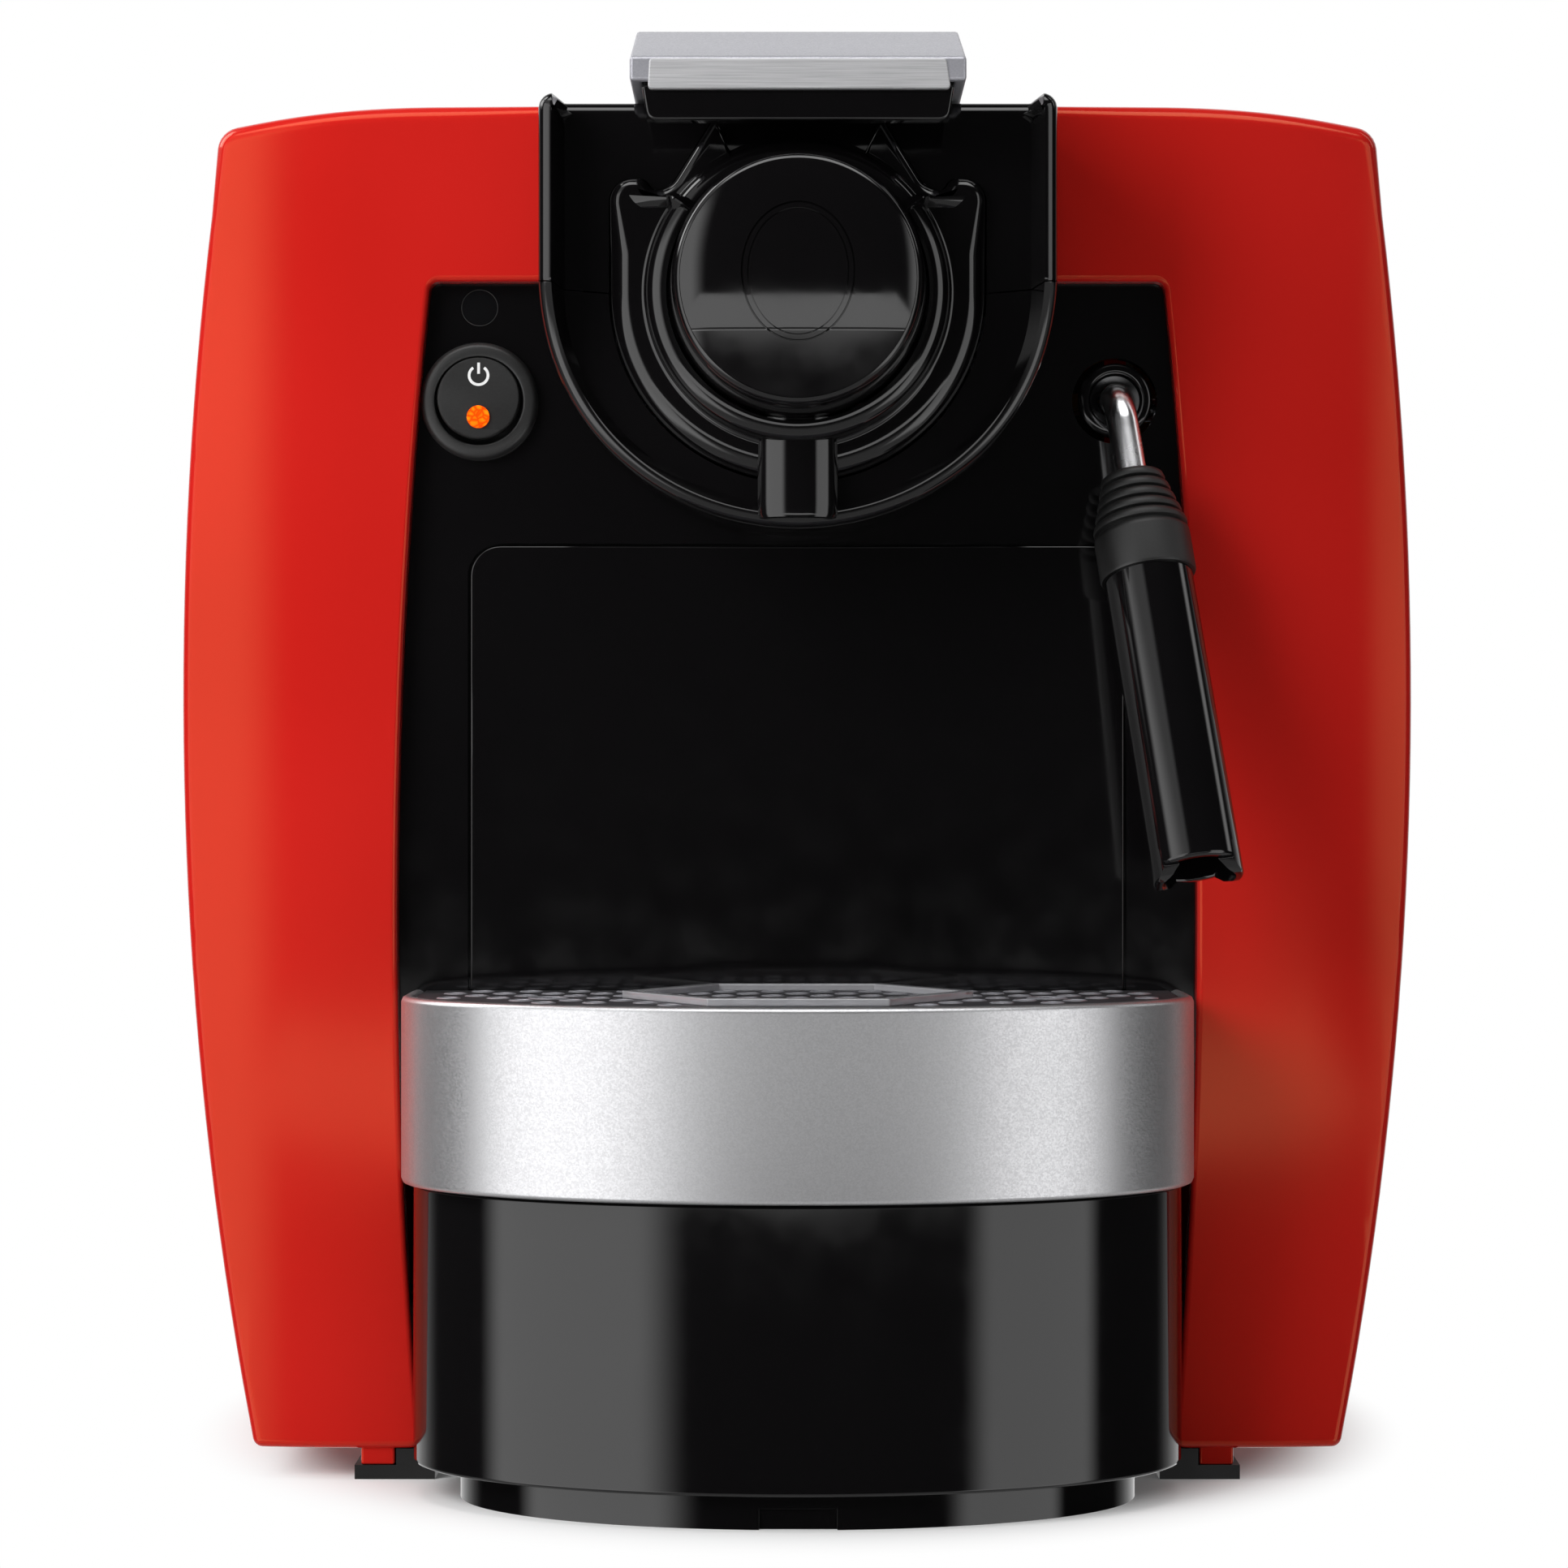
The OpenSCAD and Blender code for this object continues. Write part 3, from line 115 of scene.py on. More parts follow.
def rounded(corners: Sequence[Corner], steps: int = ROUND_STEPS) -> list[Point2]:
    """Rounds the corners of a closed outline.

    Args:
        corners: Each corner as its two coordinates and its radius.
        steps: Number of segments in each rounded corner.

    Returns:
        The outline's points.
    """
    points: list[Point2] = []
    for i, (x, y, radius) in enumerate(corners):
        here = Vector((x, y))
        if radius <= 0:
            points.append((x, y))
            continue
        back = (Vector(corners[i - 1][:2]) - here).normalized()
        ahead = (Vector(corners[(i + 1) % len(corners)][:2]) - here).normalized()
        half = back.angle(ahead) / 2
        centre = here + (back + ahead).normalized() * radius / math.sin(half)
        first = here + back * radius / math.tan(half) - centre
        last = here + ahead * radius / math.tan(half) - centre
        turn = math.atan2(last.y, last.x) - math.atan2(first.y, first.x)
        turn = (turn + math.pi) % math.tau - math.pi
        for k in range(steps + 1):
            arm = first.copy()
            arm.rotate(Matrix.Rotation(turn * k / steps, 2))
            points.append(tuple(centre + arm))
    return points


def inset(points: Sequence[Point2], distance: float | Sequence[float]) -> list[Point2]:
    """Moves a closed outline inwards.

    Args:
        points: The outline.
        distance: How far, for all the points or for each one.

    Returns:
        The moved outline, with as many points.
    """
    count = len(points)
    by = distance if isinstance(distance, Sequence) else [distance] * count
    moved: list[Point2] = []
    for i, (x, y) in enumerate(points):
        ahead = points[(i + 1) % count]
        before = Vector((x - points[i - 1][0], y - points[i - 1][1])).normalized()
        after = Vector((ahead[0] - x, ahead[1] - y)).normalized()
        normal = Vector((-before.y - after.y, before.x + after.x))
        normal = normal / max(SPIKE_LIMIT, 1 + before.dot(after))
        moved.append((x + normal.x * by[i], y + normal.y * by[i]))
    return moved


def rectangle(x: Point2, y: Point2, radius: float = 0.0, steps: int = 4) -> list[Point2]:
    """Gives the outline of a rectangle.

    Args:
        x: Its two ends across.
        y: Its two ends along.
        radius: Radius of its corners.
        steps: Number of segments in each rounded corner.

    Returns:
        The outline's points.
    """
    places = ((x[0], y[0]), (x[1], y[0]), (x[1], y[1]), (x[0], y[1]))
    return rounded([(*place, radius) for place in places], steps)


def circle(radius: float, steps: int = 72) -> list[Point2]:
    """Gives the points of a circle round the origin."""
    return arc((0, 0), (radius, radius), 0, 360, steps)[:-1]


def mirrored(half: Sequence[Point2]) -> list[Point2]:
    """Completes an outline from its right half, which runs upwards from x = 0 to x = 0."""
    other = [(-x, y) for x, y in reversed(half) if abs(x) > TINY]
    return list(half) + other


def ray_hit(outline: Sequence[Point2], centre: Point2, angle: float) -> Point2:
    """Finds where a ray from inside an outline leaves it.

    Args:
        outline: Closed outline that the ray's start lies in.
        centre: Start of the ray.
        angle: Its direction in radians.

    Returns:
        The point on the outline.
    """
    way = Vector((math.cos(angle), math.sin(angle)))
    best, reach = tuple(outline[0]), -1.0
    for a, b in zip(outline, list(outline[1:]) + [outline[0]]):
        side = Vector((b[0] - a[0], b[1] - a[1]))
        start = Vector((a[0] - centre[0], a[1] - centre[1]))
        cross = way.x * side.y - way.y * side.x
        if abs(cross) < PARALLEL:
            continue
        along = (start.x * side.y - start.y * side.x) / cross
        share = (start.x * way.y - start.y * way.x) / cross
        if along > reach and -TINY <= share <= 1 + TINY:
            best, reach = (centre[0] + way.x * along, centre[1] + way.y * along), along
    return best


def on_y(points: Sequence[Point2], y: float | Sequence[float]) -> Chain:
    """Places a front-view outline at a depth, which may differ from point to point."""
    depth = y if isinstance(y, Sequence) else [y] * len(points)
    return [Vector((p[0], d, p[1])) for p, d in zip(points, depth)]


def on_z(points: Sequence[Point2], z: float) -> Chain:
    """Places a plan outline at a height."""
    return [Vector((p[0], p[1], z)) for p in points]


def quarter(steps: int = ROUND_STEPS) -> list[Point2]:
    """Gives the two shares, inwards and forwards, of each step round a quarter circle."""
    turns = [math.pi / 2 * i / steps for i in range(steps + 1)]
    return [(1 - math.cos(t), 1 - math.sin(t)) for t in turns]


# ---------------------------------------------------------------- shapes


class Shape:
    """A mesh being modelled, in millimetres."""

    def __init__(self) -> None:
        """Starts with no geometry."""
        self.bm = bmesh.new()

    def loft(self, chains: Sequence[Chain], closed: bool = True,
             ends: tuple[bool, bool] = (False, False)) -> "Shape":
        """Skins successive chains of points, each extruded from the one before.

        Args:
            chains: Chains with the same number of points.
            closed: Whether each chain is a ring.
            ends: Whether a face closes the first and the last ring.

        Returns:
            The shape itself.
        """
        last = [self.bm.verts.new(p) for p in chains[0]]
        if ends[0]:
            self.bm.faces.new(list(reversed(last)))
        pairs = [(i, (i + 1) % len(last)) for i in range(len(last) if closed else len(last) - 1)]
        known, fresh_edge = self.bm.edges.get, self.bm.edges.new
        edges = [known((last[a], last[b])) or fresh_edge((last[a], last[b])) for a, b in pairs]
        for chain in chains[1:]:
            made = bmesh.ops.extrude_edge_only(self.bm, edges=edges)["geom"]
            fresh = {g for g in made if isinstance(g, bmesh.types.BMVert)}
            step = [next(e.other_vert(v) for e in v.link_edges if e.other_vert(v) in fresh)
                    for v in last]
            for vert, point in zip(step, chain):
                vert.co = point
            last = step
            edges = [known((last[a], last[b])) for a, b in pairs]
        if ends[1]:
            self.bm.faces.new(last)
        return self

    def web(self, outer: Chain, inner: Chain) -> "Shape":
        """Fills the flat area between two loops.

        Args:
            outer: Points of the loop outside.
            inner: Points of the loop inside.

        Returns:
            The shape itself.
        """
        edges = []
        for loop in (outer, inner):
            verts = [self.bm.verts.new(p) for p in loop]
            edges += [self.bm.edges.new((a, b)) for a, b in zip(verts, verts[1:] + verts[:1])]
        bmesh.ops.triangle_fill(self.bm, use_beauty=True, use_dissolve=False, edges=edges)
        return self

    def revolve(self, profile: Sequence[Point2], base: Vector, axis: Vector,
                steps: int = 96) -> "Shape":
        """Spins a profile of (radius, distance along the axis) points through a full turn.

        Args:
            profile: Points of the profile, open or meeting the axis.
            base: Where the axis starts.
            axis: Its direction.
            steps: Segments round the turn.

        Returns:
            The shape itself.
        """
        along = axis.normalized()
        side = along.orthogonal().normalized()
        verts = [self.bm.verts.new(base + along * s + side * r) for r, s in profile]
        edges = [self.bm.edges.new(pair) for pair in zip(verts, verts[1:])]
        bmesh.ops.spin(self.bm, geom=verts + edges, cent=base, axis=along, angle=math.tau,
                       steps=steps, use_merge=True)
        return self

    def sweep(self, path: Sequence[Vector], radius: float, sides: int = 40) -> "Shape":
        """Runs a round bar along a path of points.

        Args:
            path: Points of the centreline, close together where it bends.
            radius: Radius of the bar.
            sides: Segments round it.

        Returns:
            The shape itself.
        """
        rings = []
        across = (path[1] - path[0]).orthogonal().normalized()
        for i, point in enumerate(path):
            along = (path[min(i + 1, len(path) - 1)] - path[max(i - 1, 0)]).normalized()
            across = (across - along * across.dot(along)).normalized()
            other = along.cross(across)
            rings.append([point + (across * math.cos(t) + other * math.sin(t)) * radius
                          for t in (math.tau * k / sides for k in range(sides))])
        return self.loft(rings, ends=(True, True))

    def plate(self, place: Callable[[Sequence[Point2], float], Chain], outline: Sequence[Point2],
              span: Point2, rounds: Point2) -> "Shape":
        """Runs an outline from one plane to another, with rounded edges.

        Args:
            place: Puts an outline in the plane at a distance.
            outline: Closed outline.
            span: Distance of the first and of the last plane.
            rounds: Radius of the edge at each.

        Returns:
            The shape itself.
        """
        first, last = rounds
        rings = [place(inset(outline, first * a), span[0] + first * b)
                 for a, b in reversed(quarter())]
        rings += [place(inset(outline, last * a), span[1] - last * b) for a, b in quarter()]
        return self.loft(rings, ends=(True, True))

    def slab(self, outline: Sequence[Point2], front: float, back: float, front_round: float = 0.0,
             back_round: float = 0.0) -> "Shape":
        """Makes a plate from a closed front view, between two depths."""
        return self.plate(on_y, outline, (front, back), (front_round, back_round))

    def block(self, plan: Sequence[Point2], bottom: float, top: float, bottom_round: float = 0.0,
              top_round: float = 0.0) -> "Shape":
        """Makes an upright block from a closed plan view, between two heights."""
        return self.plate(on_z, plan, (bottom, top), (bottom_round, top_round))

    def geometry(self) -> list:
        """Lists every vertex, edge and face."""
        return self.bm.verts[:] + self.bm.edges[:] + self.bm.faces[:]

    def split(self, point: Sequence[float], normal: Sequence[float],
              clear: bool = False) -> "Shape":
        """Cuts along a plane.

        Args:
            point: A point on the plane.
            normal: Its normal.
            clear: Whether the side that the normal points to is removed.

        Returns:
            The shape itself.
        """
        bmesh.ops.bisect_plane(self.bm, geom=self.geometry(), dist=PLANE_MM, plane_co=point,
                               plane_no=normal, clear_outer=clear)
        return self

    def shift(self, rule: Callable[[Vector], Vector]) -> "Shape":
        """Moves every vertex to where a rule puts it."""
        for vert in self.bm.verts:
            vert.co = rule(vert.co)
        return self

    def turn(self, matrix: Matrix) -> "Shape":
        """Transforms the whole shape."""
        bmesh.ops.transform(self.bm, matrix=matrix, verts=self.bm.verts[:])
        return self

    def mirror_x(self) -> "Shape":
        """Adds the shape's mirror image in x = 0, joined on where they meet."""
        bmesh.ops.mirror(self.bm, geom=self.geometry(), axis="X", merge_dist=MERGE_MM)
        return self.clean()

    def clean(self) -> "Shape":
        """Merges doubles and turns the faces outwards, or those of an open surface to the front."""
        bmesh.ops.remove_doubles(self.bm, verts=self.bm.verts[:], dist=MERGE_MM)
        bmesh.ops.recalc_face_normals(self.bm, faces=self.bm.faces[:])
        self.bm.normal_update()
        closed = all(len(e.link_faces) == 2 for e in self.bm.edges)
        outward = self.bm.calc_volume(signed=True) if closed else -sum(
            f.normal.y * f.calc_area() for f in self.bm.faces)
        if outward < 0:
            bmesh.ops.reverse_faces(self.bm, faces=self.bm.faces[:])
        return self

    def to_object(self, name: str) -> Thing:
        """Makes the object, at its place in metres, and frees the bmesh."""
        self.turn(Matrix.Scale(MM, 4))
        mesh = bpy.data.meshes.new(name)
        self.bm.to_mesh(mesh)
        self.bm.free()
        made = bpy.data.objects.new(name, mesh)
        bpy.context.scene.collection.objects.link(made)
        return made


# ---------------------------------------------------------------- finishes


Tree = bpy.types.NodeTree
Socket = bpy.types.NodeSocket
NOISE_SPAN = (0.3, 0.7)   # values between which a noise pattern mostly lies
GAMMA_FOOT = 0.04045      # sRGB values up to this are on the straight part of the curve


def linear(colour: str) -> tuple[float, float, float, float]:
    """Turns an sRGB hex colour into the linear colour that a shader takes."""
    channels = [int(colour[i:i + 2], 16) / 255 for i in (1, 3, 5)]
    straight = [c / 12.92 if c <= GAMMA_FOOT else ((c + 0.055) / 1.055) ** 2.4 for c in channels]
    return (*straight, 1.0)


def add(tree: Tree, kind: str, inputs: dict | None = None, **settings) -> bpy.types.Node:
    """Adds a node to a tree.

    Args:
        tree: Node tree that the node goes into.
        kind: The node's type, without the leading ShaderNode.
        inputs: Value or linked socket of each named or numbered input.
        settings: Properties of the node itself.

    Returns:
        The node.
    """
    node = tree.nodes.new("ShaderNode" + kind)
    for name, value in settings.items():
        setattr(node, name, value)
    for name, value in (inputs or {}).items():
        if isinstance(value, Socket):
            tree.links.new(value, node.inputs[name])
        else:
            node.inputs[name].default_value = value
    return node


class Surface:
    """Nodes of a material while its pattern is added; sizes are in millimetres."""

    def __init__(self, tree: Tree, finish: "Finish") -> None:
        """Adds the shader, with the finish's plain values."""
        tree.nodes.clear()
        self.tree = tree
        self.own = linear(finish.colour)
        self.shader = add(tree, "BsdfPrincipled", {
            "Base Color": self.own, "Roughness": finish.roughness, "Metallic": finish.metallic,
            "IOR": finish.ior, "Specular Tint": linear(finish.gloss_tint)})
        add(tree, "OutputMaterial", {"Surface": self.shader.outputs["BSDF"]})
        self.coords = add(tree, "TexCoord").outputs["Object"]

    def noise(self, size: float, detail: float = 2.0, coords: Socket | None = None) -> Socket:
        """Returns a noise pattern whose features are of a size."""
        inputs = {"Vector": coords or self.coords, "Scale": 1 / (size * MM), "Detail": detail}
        return add(self.tree, "TexNoise", inputs).outputs["Fac"]

    def cells(self, size: float, **settings) -> bpy.types.Node:
        """Returns a pattern of cells of a size."""
        inputs = {"Vector": self.coords, "Scale": 1 / (size * MM)}
        return add(self.tree, "TexVoronoi", inputs, **settings)

    def between(self, share: Socket, low: float, high: float, span: Point2 = NOISE_SPAN) -> Socket:
        """Returns a pattern spread from its own span over a range."""
        return add(self.tree, "MapRange", {"Value": share, "From Min": span[0], "From Max": span[1],
                                           "To Min": low, "To Max": high}).outputs["Result"]

    def drive(self, name: str, value: Socket) -> None:
        """Lets a pattern drive one of the shader's inputs."""
        self.tree.links.new(value, self.shader.inputs[name])

    def rough(self, share: Socket, low: float, high: float, span: Point2 = NOISE_SPAN) -> None:
        """Lets a pattern vary the roughness between two values."""
        self.drive("Roughness", self.between(share, low, high, span))

    def tint(self, share: Socket, other: str) -> Socket:
        """Varies the base colour between the finish's own and another, and returns it."""
        mix = add(self.tree, "Mix", {0: share, 6: self.own, 7: linear(other)}, data_type="RGBA")
        self.drive("Base Color", mix.outputs[2])
        return mix.outputs[2]

    def relief(self, height: Socket, depth: float) -> None:
        """Adds a bump of a depth."""
        bump = add(self.tree, "Bump", {"Height": height, "Strength": 1.0, "Distance": depth * MM})
        self.drive("Normal", bump.outputs["Normal"])


@dataclass(frozen=True)
class Finish:
    """A surface and how it was made; the subclasses add its pattern."""

    name: str
    colour: str
    roughness: float = 0.3
    metallic: float = 0.0
    ior: float = 1.5
    gloss_tint: str = "#FFFFFF"

    def build(self) -> bpy.types.Material:
        """Returns the finish's material, made once."""
        made = bpy.data.materials.get(self.name)
        if not made:
            made = bpy.data.materials.new(self.name)
            made.use_nodes = True
            self.pattern(Surface(made.node_tree, self))
        return made

    def pattern(self, surface: Surface) -> None:
        """Adds what makes the surface more than one flat colour."""


@dataclass(frozen=True)
class GlossMoulding(Finish):
    """Plastic moulded in a polished tool: sink waves, wipe marks and a slow drift of tone."""

    shade: str = "#000000"
    drift_mm: float = 70.0
    wave_mm: float = 26.0
    wave_depth: float = 0.012
    wipe_mm: float = 9.0
    roughest: float = 0.12

    def pattern(self, surface: Surface) -> None:
        """Adds the waves of the tool, the wipe marks and the tone's slow drift."""
        surface.tint(surface.between(surface.noise(self.drift_mm, 1.0), 0.0, 0.5), self.shade)
        surface.rough(surface.noise(self.wipe_mm, 5.0), self.roughness, self.roughest)
        surface.relief(surface.noise(self.wave_mm, 0.0), self.wave_depth)


@dataclass(frozen=True)
class GrainedMoulding(Finish):
    """Plastic or rubber from a spark-eroded tool: a fine even grain that kills the gloss."""

    shade: str = "#000000"
    grain_mm: float = 0.45
    grain_depth: float = 0.02
    rub_mm: float = 14.0

    def pattern(self, surface: Surface) -> None:
        """Adds the grain, and the patches where handling has polished it."""
        grain = surface.noise(self.grain_mm, 3.0)
        surface.tint(surface.between(grain, 0.0, 0.6), self.shade)
        surface.rough(surface.noise(self.rub_mm, 3.0), self.roughness - 0.05, self.roughness + 0.08)
        surface.relief(grain, self.grain_depth)


@dataclass(frozen=True)
class FlakePaint(Finish):
    """Sprayed paint with aluminium flakes: a satin sheen that sparkles grain by grain."""

    shade: str = "#808080"
    flake_mm: float = 0.35
    flake_depth: float = 0.0012

    def pattern(self, surface: Surface) -> None:
        """Adds flakes, each with its own tone and tilt."""
        cells = surface.cells(self.flake_mm)
        tone = add(surface.tree, "SeparateColor", {"Color": cells.outputs["Color"]}).outputs["Red"]
        surface.tint(tone, self.shade)
        surface.rough(tone, self.roughness - 0.05, self.roughness + 0.06, (0.0, 1.0))
        surface.relief(tone, self.flake_depth)


@dataclass(frozen=True)
class BrushedMetal(Finish):
    """Metal dressed with a belt: hair lines along X that spread the light across them."""

    shade: str = "#8C8C90"
    line_mm: float = 0.22
    run_mm: float = 14.0
    line_depth: float = 0.006

    def pattern(self, surface: Surface) -> None:
        """Adds the hair lines."""
        squeeze = add(surface.tree, "Mapping", {"Vector": surface.coords,
                                                "Scale": (self.line_mm / self.run_mm, 1.0, 1.0)})
        lines = surface.noise(self.line_mm, 4.0, squeeze.outputs["Vector"])
        surface.tint(surface.between(lines, 0.0, 1.0), self.shade)
        surface.rough(lines, self.roughness - 0.06, self.roughness + 0.1)
        surface.relief(lines, self.line_depth)


@dataclass(frozen=True)
class SmoothMetal(Finish):
    """Turned, drawn or plated metal: finger marks in the gloss."""

    smear_mm: float = 6.0
    smear: float = 0.08

    def pattern(self, surface: Surface) -> None:
        """Adds the marks to the gloss."""
        surface.rough(surface.noise(self.smear_mm, 4.0), self.roughness,
                      self.roughness + self.smear)


@dataclass(frozen=True)
class ClearMoulding(Finish):
    """Clear or smoked plastic: light passes, with a faint haze from use."""

    transmission: float = 0.9
    haze_mm: float = 5.0
    haze: float = 0.1

    def pattern(self, surface: Surface) -> None:
        """Lets light through, and adds the haze."""
        surface.shader.inputs["Transmission Weight"].default_value = self.transmission
        surface.rough(surface.noise(self.haze_mm, 5.0), self.roughness, self.roughness + self.haze)


@dataclass(frozen=True)
class LitLens(Finish):
    """Ribbed lens with a lamp behind it: bright, with darker cells where its ribs meet."""

    glow: float = 1.0
    cell_mm: float = 1.5
    cell_depth: float = 0.15
    rib: float = 0.4
    shade: str = "#C03400"

    def pattern(self, surface: Surface) -> None:
        """Adds the lens's cells and its glow."""
        cells = surface.cells(self.cell_mm, feature="DISTANCE_TO_EDGE").outputs["Distance"]
        lit = surface.tint(surface.between(cells, 1.0, 0.0, (0.0, self.rib)), self.shade)
        surface.drive("Emission Color", lit)
        surface.shader.inputs["Emission Strength"].default_value = self.glow
        surface.relief(cells, self.cell_depth)


# Red ABS from a polished tool: deep, clean gloss
RED_ABS = GlossMoulding("red_gloss_abs", "#C4201C", roughness=0.10, shade="#B41812", roughest=0.13,
                        gloss_tint="#FFB478", wipe_mm=40.0)
# Black ABS from a polished tool, as piano lacquer: nearly black, with sharp reflections
BLACK_ABS = GlossMoulding("black_gloss_abs", "#0A090A", roughness=0.05, shade="#0E0D0E",
                          wave_depth=0.006, roughest=0.10)
# Black ABS with a fine satin texture: grey sheen and no sharp reflection
SATIN_ABS = GrainedMoulding("black_satin_abs", "#1C1C1C", roughness=0.42, shade="#262626",
                            grain_mm=0.5)
# Polypropylene from an eroded tool: dull, lighter black
GRAINED_PP = GrainedMoulding("grained_black_polypropylene", "#151515", roughness=0.55,
                             shade="#1E1E1E", grain_mm=0.8, grain_depth=0.03)
# Moulded elastomer: matt and slightly grey at its edges
RUBBER = GrainedMoulding("moulded_black_rubber", "#0A0A0A", roughness=0.45, shade="#101010",
                         grain_mm=0.6, ior=1.52)
RED_SILICONE = GrainedMoulding("red_silicone_rubber", "#8A3022", roughness=0.5, shade="#9A4030",
                               grain_mm=0.7)
HOSE_SILICONE = GrainedMoulding("milky_silicone_hose", "#B8BCC0", roughness=0.4, shade="#A6ABB0",
                                grain_mm=1.0)
# Sprayed silver with flakes: satin, between metal and paint
SILVER_PAINT = FlakePaint("silver_flake_paint", "#C6C6C8", roughness=0.36, metallic=0.85,
                          shade="#BABABC", flake_mm=0.3)
# Smooth satin silver of the lever's top; on the grille's hole rims, its lighter tone than the plate
# is painted highlight
SATIN_SILVER = FlakePaint("satin_silver_paint", "#ADADB3", roughness=0.42, metallic=0.6,
                          shade="#A2A2A9", flake_mm=0.25)
# Anodised aluminium plate with a belt-brushed face
BRUSHED_ALUMINIUM = BrushedMetal("brushed_anodised_aluminium", "#C2C2C4", roughness=0.42,
                                 metallic=0.25, shade="#A2A2A4")
CAST_ALUMINIUM = GrainedMoulding("die_cast_aluminium", "#A8A8AC", roughness=0.45, metallic=1.0,
                                 shade="#98989C", grain_mm=1.2, grain_depth=0.05)
# Bright plated tube
CHROME = SmoothMetal("chrome_plated_tube", "#E8E8EA", roughness=0.2, metallic=1.0)
STEEL = SmoothMetal("drawn_stainless_steel", "#B8B8BC", roughness=0.22, metallic=1.0)
GRILLE_STEEL = SmoothMetal("satin_stainless_plate", "#77777B", roughness=0.42, metallic=1.0)
BRASS = SmoothMetal("machined_brass", "#B8924A", roughness=0.25, metallic=1.0)
# Frosted polycarbonate of the cup rest: pale and translucent
CLEAR_REST = ClearMoulding("frosted_polycarbonate", "#E4E4E8", roughness=0.12, ior=1.58,
                           transmission=0.65)
# Smoked acrylic of the tank and its lid
SMOKED_ACRYLIC = ClearMoulding("smoked_acrylic", "#8E979E", roughness=0.03, ior=1.49,
                               transmission=0.92)
DARK_LENS = GlossMoulding("smoked_lamp_lens", "#0B0B0C", roughness=0.06, shade="#141416", ior=1.58)
ORANGE_LENS = LitLens("lit_orange_lens", "#FF7408", roughness=0.12, ior=1.58, glow=0.85,
                      cell_mm=1.3)
WHITE_PRINT = GrainedMoulding("white_pad_print", "#E8E8E8", roughness=0.5, shade="#DADADA",
                              grain_mm=0.3, grain_depth=0.004)
CIRCUIT_BOARD = GrainedMoulding("green_solder_resist", "#14502C", roughness=0.35, shade="#1C6A3A",
                                grain_mm=2.5)


# ---------------------------------------------------------------- pieces


NORMAL_WEIGHT = 80        # how strongly large faces decide the normals
FLAT_ANGLE = 0.6          # faces that meet at less than this many degrees are one


def apply_modifiers(target: Thing) -> None:
    """Replaces an object's mesh by what its modifiers make of it."""
    graph = bpy.context.evaluated_depsgraph_get()
    mesh = bpy.data.meshes.new_from_object(target.evaluated_get(graph))
    old = target.data
    target.modifiers.clear()
    target.data = mesh
    bpy.data.meshes.remove(old)


def combine(target: Thing, tools: Iterable[Thing], how: str = "DIFFERENCE") -> Thing:
    """Cuts tools out of an object, or joins them to it, and removes them.

    Args:
        target: Object that is changed.
        tools: Closed objects that are used up.
        how: DIFFERENCE, UNION or INTERSECT.

    Returns:
        The changed object.
    """
    used = list(tools)
    for tool in used:
        modifier = target.modifiers.new("cut", "BOOLEAN")
        modifier.operation = how
        modifier.object = tool
        modifier.solver = "MANIFOLD"
    apply_modifiers(target)
    for tool in used:
        bpy.data.objects.remove(tool)
    return target


def present(piece: Thing, finish: Finish, body: Body, replaces: Sequence[str] = (),
            smooth: float = SMOOTH_ANGLE) -> Thing:
    """Finishes a piece: its shading, its material and what it rides on.

    Args:
        piece: Object at its place, in metres.
        finish: Its surface.
        body: Body that it moves with.
        replaces: Nodes of the frame that it stands for.
        smooth: Edges sharper than this many degrees stay crisp.

    Returns:
        The piece.
    """
    piece.data.materials.clear()
    piece.data.materials.append(finish.build())
    piece.data.shade_smooth()
    piece.data.set_sharp_from_angle(angle=math.radians(smooth))
    weighted = piece.modifiers.new("weighted", "WEIGHTED_NORMAL")
    weighted.keep_sharp = True
    weighted.weight = NORMAL_WEIGHT
    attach(piece, body.value)
    if replaces:
        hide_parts(*replaces)
    log.info("%s: %d faces, on %s", piece.name, len(piece.data.polygons), body.value)
    return piece


def solid(shape: Shape, name: str = "tool") -> Thing:
    """Makes an object of a closed shape, with its faces turned outwards."""
    return shape.clean().to_object(name)


def walled(shape: Shape, thickness: float, name: str) -> Thing:
    """Makes an object of an open surface, with a wall behind it.

    Args:
        shape: Surface whose faces look at the viewer.
        thickness: Thickness of the wall in millimetres.
        name: Name of the object.

    Returns:
        The object.
    """
    made = shape.clean().to_object(name)
    wall = made.modifiers.new("wall", "SOLIDIFY")
    wall.thickness = thickness * MM
    wall.offset = -1.0
    wall.use_even_offset = False
    apply_modifiers(made)
    return made


def copied(node: str, name: str, width: float, sharper: float = 40.0) -> Thing:
    """Copies a node of the frame with its edges broken.

    Args:
        node: Node that is copied; its own mesh is left alone.
        name: Name of the copy.
        width: Width of the rounding in millimetres, or 0 for none.
        sharper: Least angle of an edge that is rounded.

    Returns:
        The copy, in metres.
    """
    shape = Shape()
    shape.bm.from_mesh(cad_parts[node].data)
    shape.turn(Matrix.Scale(1 / MM, 4))
    bmesh.ops.remove_doubles(shape.bm, verts=shape.bm.verts[:], dist=MERGE_MM)
    bmesh.ops.dissolve_limit(shape.bm, angle_limit=math.radians(FLAT_ANGLE), delimit={"NORMAL"},
                             verts=shape.bm.verts[:], edges=shape.bm.edges[:])
    if width:
        edges = [e for e in shape.bm.edges if len(e.link_faces) == 2
                 and e.calc_face_angle(0.0) > math.radians(sharper)]
        bmesh.ops.bevel(shape.bm, geom=edges, offset=width, offset_type="OFFSET", segments=2,
                        profile=0.5, affect="EDGES", clamp_overlap=True, material=-1)
    return shape.to_object(name)


# ---------------------------------------------------------------- casing


